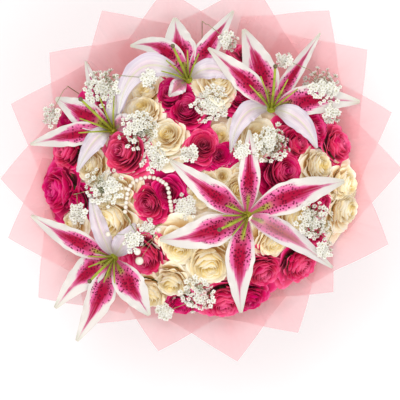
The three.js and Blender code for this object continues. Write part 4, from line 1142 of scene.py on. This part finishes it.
# %% A cluster of florets
def cluster(pile, x, y, count, spread, rng, stem_from):
    """count florets scattered round (x, y), each over what lies there, with twigs that meet below them."""
    angle = GOLDEN * np.arange(count) + rng.uniform(0, TAU)
    distance = spread * ((np.arange(count) + 0.5) / count) ** 0.6 * rng.uniform(0.75, 1.15, count)
    px, py = x + distance * np.cos(angle), y + distance * np.sin(angle)
    size = rng.uniform(2.0, 3.8, count)
    pz = cover(px, py, 0.5) + rng.uniform(0.5, 5.5, count) + 2.5 * (1 - distance / spread)
    center = np.column_stack([px, py, pz])
    hub = np.array([x, y, pz.mean() - 15])
    out = unit(unit(center - hub) + rng.normal(0, 0.35, center.shape) + UP * 0.5)
    a = unit(np.cross(out, [0.3, 0.9, 0.1]))
    frames = np.stack([a, np.cross(out, a), out], axis=1) * size[:, None, None]
    points = np.einsum("kijc,ncd->nkijd", FLORET_SHAPE, frames) + center[:, None, None, None]
    pile.grids(points.reshape(-1, 3, 3, 3))
    s = np.linspace(0, 1, 5)[None, :, None]
    twigs = hub + (center - out * 0.3 - hub)[:, None] * s - np.sin(np.pi * s) * UP * 1.5
    tubes(pile, twigs, 0.32, sides=4, slot=1)
    over_branch(pile, stem_from, hub, 0.32)


one_cluster = Pile()
cluster(one_cluster, 0, 0, 10, 8, np.random.default_rng(1), on_dome(0, 0))
print("a cluster of ten florets has", sum(len(quads) for quads in one_cluster.quads), "faces")

# %% [markdown]
# ## All of the baby's breath
#
# Every node has one large cluster where its spray stands in the frame, and some have small heads further
# out on the same branch.

# %% All of the baby's breath
total = 0
for i, (x, y, florets) in enumerate(SPRAYS):
    name = f"babys_breath_{i + 1:02d}"
    pile = Pile()
    stem_top = rising_stem(pile, name)
    for hx, hy, count, spread in [(x, y, *SPRAY_SIZES[florets])] + SMALL_HEADS.get(i, []):
        cluster(pile, hx, hy, count, spread, rng, stem_top)
        total += count
    pile.mesh(name, "florets", [FLORET, TWIG_GREEN], "babys_breath")
print(total, "florets")

# %% [markdown]
# ## Stems above the tie
#
# Every bloom stands on a stem that runs straight to the tie and bends into the bloom's own axis just
# below it. Inside the tie the stems are packed, so one core stands for the ones that nobody can see.

# %% Stems above the tie
LILY_FOOT, SMALL = 11, 0.01
pile = Pile()
blooms = [(rose["center"], rose["axis"], ROSE_FOOT * rose["r"]) for rose in roses]
blooms += [(on_dome(*throat), UP, LILY_FOOT) for throat, _, _ in LILIES]
s = np.linspace(0, 1, 16)[:-1, None]
paths = []
for center, axis, depth in blooms:
    top = center - axis * (depth + SEAT_GAP)
    neck = top - axis * STEM_NECK
    root = fan_point(center[0], center[1], TIE_TOP) - UP * STEM_NECK / 2
    paths.append(np.vstack([root + (neck - root) * s, neck + (top - neck) * np.array([[0.35], [1.0]])]))
tubes(pile, np.array(paths), np.linspace(2.0, 2.5, len(paths[0])), sides=8)
core_heights = np.array([TIE_BOTTOM, TIE_BOTTOM + SMALL, TIE_TOP - SMALL, TIE_TOP])
tubes(pile, np.outer(core_heights, UP), [0.1, TIE_RADIUS, TIE_RADIUS, 0.1], sides=40)
print(len(paths), "upper stems")

# %% [markdown]
# ## Cut stems below the tie
#
# Below the tie the stems open again into a spiral, which lets the bouquet stand on its own. Rings of
# straight lines that all lean to one side give that waist. Each stem ends in a pale cut face.

# %% Cut stems below the tie
STEM_RINGS = ((1, 0), (6, 7), (12, 13.2), (18, 19), (22, 24.3))  # stems in a ring, its radius at the waist
UNDER_WAIST, CUT_DEPTH = 4, 0.05
feet, waists = [], []
for count, radius in STEM_RINGS:
    angle = TAU * (np.arange(count) + radius / STEM_SPREAD) / count
    waist = radius * np.stack([np.cos(angle), np.sin(angle)], axis=1)
    aside = np.stack([-waist[:, 1], waist[:, 0]], axis=1) * SPIRAL_RATE
    feet.append(np.column_stack([waist + aside * TIE_WAIST, np.zeros(count)]))
    waists.append(np.column_stack([waist + aside * UNDER_WAIST, np.full(count, TIE_WAIST - UNDER_WAIST)]))
feet, waists = np.concatenate(feet)[:, None], np.concatenate(waists)[:, None]
girth = rng.uniform(0.88, 1.12, (len(feet), 1)) * np.linspace(2.9, 2.4, 12)[None]
tubes(pile, feet + (waists - feet) * np.linspace(0, 1, 12)[None, :, None], girth, sides=9, capped=False)
cut = feet + np.outer([0, CUT_DEPTH], UP)
tubes(pile, cut, np.stack([girth[:, 0] * 0.02, girth[:, 0]], axis=1), sides=9, capped=False, slot=1)
for points in pile.points:
    points[:, 2] = np.maximum(points[:, 2], 0)
pile.mesh("stems", "green", [STEM_GREEN, CUT_END], "stem_green")
print(len(feet), "cut stems")

# %% [markdown]
# ## Film collar
#
# The wrap is a fan of pointed sheets, each the corner of a square of film, laid over the next one's edge.
# In plan the two straight edges of a corner give a rim of radius R sin b / sin(b + d), with d the angle
# from the corner and b half of the corner's own angle. It is stiff wrapping film, so formulas suit it
# better than a cloth simulation would.

# %% Film collar
CORNER_HALF_ANGLE, SHEET_HALF_WIDTH, BELLY_HALF_WIDTH = np.radians(50.5), np.radians(24), np.radians(10)
NECK_SHARE = 0.1  # the part of each sheet that stands upright round the neck
pile = Pile()
d = np.linspace(-1, 1, 33)[None, :] * SHEET_HALF_WIDTH
v = np.linspace(0, 1, 40)[:, None]
for k, (corner, angle) in enumerate(COLLAR_CORNERS):
    rim = corner * np.sin(CORNER_HALF_ANGLE) / np.sin(CORNER_HALF_ANGLE + np.abs(d))
    radius = NECK_RADIUS + (rim - NECK_RADIUS) * np.maximum(0, (v - NECK_SHARE) / (1 - NECK_SHARE))
    share = np.clip((radius - NECK_RADIUS) / (BEND_RADIUS - NECK_RADIUS), 0, 1.3)
    height = collar_height(radius) - (NECK_TOP - NECK_BOTTOM) * np.maximum(0, (NECK_SHARE - v) / NECK_SHARE)
    belly = COLLAR_FOLD * share * (1 - (d / BELLY_HALF_WIDTH) ** 2).clip(-1, 1)
    lap = -2.6 * share * d / SHEET_HALF_WIDTH - 0.35 * (d / SHEET_HALF_WIDTH)
    crinkle = 0.7 * share**2 * np.sin(9 * share + 2.1 * k) * np.sin(70 * d + 1.7 * k)
    crinkle = crinkle + 1.3 * share**3 * np.sin(26 * d + 3.1 * k + 2 * share)
    turn = np.radians(angle) + d
    flat = radius + 0.5 * belly
    pile.grids(round_points(flat, turn, height + lap + crinkle), luck=rng.uniform(-1, 1))
pile.mesh("film_collar", "sheets", [FILM], "film_pink")
print(len(COLLAR_CORNERS), "film sheets")

# %% [markdown]
# ## Ribbon
#
# A satin band lies round the tie, with a small ripple across its width. It is one grid rolled round the
# upright axis, which is simpler than a curve with a profile and has the same form.

# %% The band of the ribbon
RIBBON_MIDDLE, RIBBON_HALF = 112, 7
pile = Pile()
turn = TAU * np.arange(72)[None, :] / 72
z = np.linspace(-1, 1, 9)[:, None]
radius = NECK_RADIUS + 1.2 + 0.5 * (1 - z**8) + 0.12 * np.cos(3 * np.pi * z)
pile.grids(round_points(radius, turn, RIBBON_MIDDLE + RIBBON_HALF * z), closed=True)
print("the band is", round(TAU * float(radius.max())), "mm round")

# %% [markdown]
# ## The bow
#
# At the front are two loops, a knot and two tails with a notch. Each strip follows a formula, so it keeps
# its width where simulated cloth would need pins. The knot is a ball that is squeezed flat and pleated.

# %% The bow
FRONT = -(NECK_RADIUS + 1.9) - 3  # y of the bow's middle
LOOP_HALF, LOOP_WIDTH, LOOP_DEPTH, TAIL_LENGTH, TAIL_OUT = 20, 15, 8, 75, 22
KNOT_WIDTH, KNOT_DEPTH, KNOT_HEIGHT = 6.6, 4.6, 6.4
a = np.linspace(-1, 1, 13)[None, :]
t = np.linspace(0.12, 1.88, 33)[:, None] * np.pi
s = np.linspace(0, 1, 25)[:, None]
for hand in (-1, 1):
    x = hand * (LOOP_HALF * (1 - np.cos(t)) + 1)
    y = FRONT - 2 + LOOP_DEPTH * np.sin(t) * (1 - np.cos(t)) * 0.5
    half = LOOP_WIDTH * (0.28 + 0.22 * np.sin(t / 2))
    pleat = 0.8 * np.cos(2.5 * np.pi * a) * np.exp(-np.abs(x) / 14)
    pile.grids(points_of(x, y + pleat, RIBBON_MIDDLE + half * a))
    notch = 6 * s**12 * (1 - np.abs(a))
    pile.grids(points_of(
        hand * (3 + 17 * s) + 6 * a, FRONT - 1 - TAIL_OUT * s + 1.2 * np.sin(9 * s + hand) * s,
        RIBBON_MIDDLE - 3 - TAIL_LENGTH * s + notch + 2 * hand * a * s))
polar = np.linspace(0, np.pi, 13)[:, None]
turn = TAU * np.arange(20)[None, :] / 20
round_off = np.sin(polar) ** 0.7
pile.grids(points_of(
    KNOT_WIDTH * round_off * np.cos(turn), FRONT - 0.5 + KNOT_DEPTH * round_off * np.sin(turn),
    RIBBON_MIDDLE + KNOT_HEIGHT * np.cos(polar) + 0.4 * np.sin(polar) * np.cos(7 * turn)), closed=True)
bow = pile.mesh("ribbon", "bow", [RIBBON], "ribbon_pink")
print("the ribbon has", len(bow.data.polygons), "faces")

# %% [markdown]
# ## Floor and world
#
# The bouquet stands on a pale floor with a little light of its own, so that it stays white under the
# bouquet's wide shade. The world gives the even light of a studio.

# %% Floor and world
bpy.ops.mesh.primitive_plane_add(size=8, location=(0, 0, -0.0005))
floor = bpy.context.object
floor.name = "floor"
FLOOR, _, _ = material("floor_white", Roughness=0.9, Specular_IOR_Level=0.1, Base_Color=(0.86, 0.86, 0.86, 1),
                       Emission_Color=(1, 1, 1, 1), Emission_Strength=0.17)
floor.data.materials.append(FLOOR)

scene = bpy.context.scene
scene.view_settings.view_transform = "Standard"
world = bpy.data.worlds.new("studio")
world.use_nodes = True
put(world.node_tree.nodes["Background"], Color=(1, 1, 1, 1), Strength=0.67)
scene.world = world
print("the floor is", floor.dimensions.x, "m wide")

# %% [markdown]
# ## Light and camera
#
# Two soft round lamps shine from above, one at the back and one at the front. A long lens looks straight
# down, as in the photograph, because a short one near the bouquet would show its sides.

# %% Light and camera
SENSOR_WIDTH = 36
CAMERA_HEIGHT, DOME_HEIGHT, FIELD_WIDTH = 3.4, 0.35, 0.44  # metres; the field is so wide at the dome's height


def area_light(name, place, size, power, aim=(0, 0, 0.25)):
    """A round soft lamp at a place, turned to its aim."""
    light = bpy.data.lights.new(name, "AREA")
    light.shape, light.size, light.energy = "DISK", size, power
    made = bpy.data.objects.new(name, light)
    made.location = place
    made.rotation_euler = (Vector(aim) - Vector(place)).to_track_quat("-Z", "Y").to_euler()
    bpy.context.collection.objects.link(made)


area_light("key", (-0.28, 0.5, 2.8), 0.9, 20)
area_light("fill", (0.45, -0.85, 2.7), 1.6, 19)
camera = bpy.data.objects.new("camera", bpy.data.cameras.new("camera"))
bpy.context.collection.objects.link(camera)
scene.camera = camera
camera.location = (-0.0011, -0.0308, CAMERA_HEIGHT)
camera.data.lens = SENSOR_WIDTH * (CAMERA_HEIGHT - DOME_HEIGHT) / FIELD_WIDTH
camera.data.clip_end = 20
print("the lens is", round(camera.data.lens), "mm long")
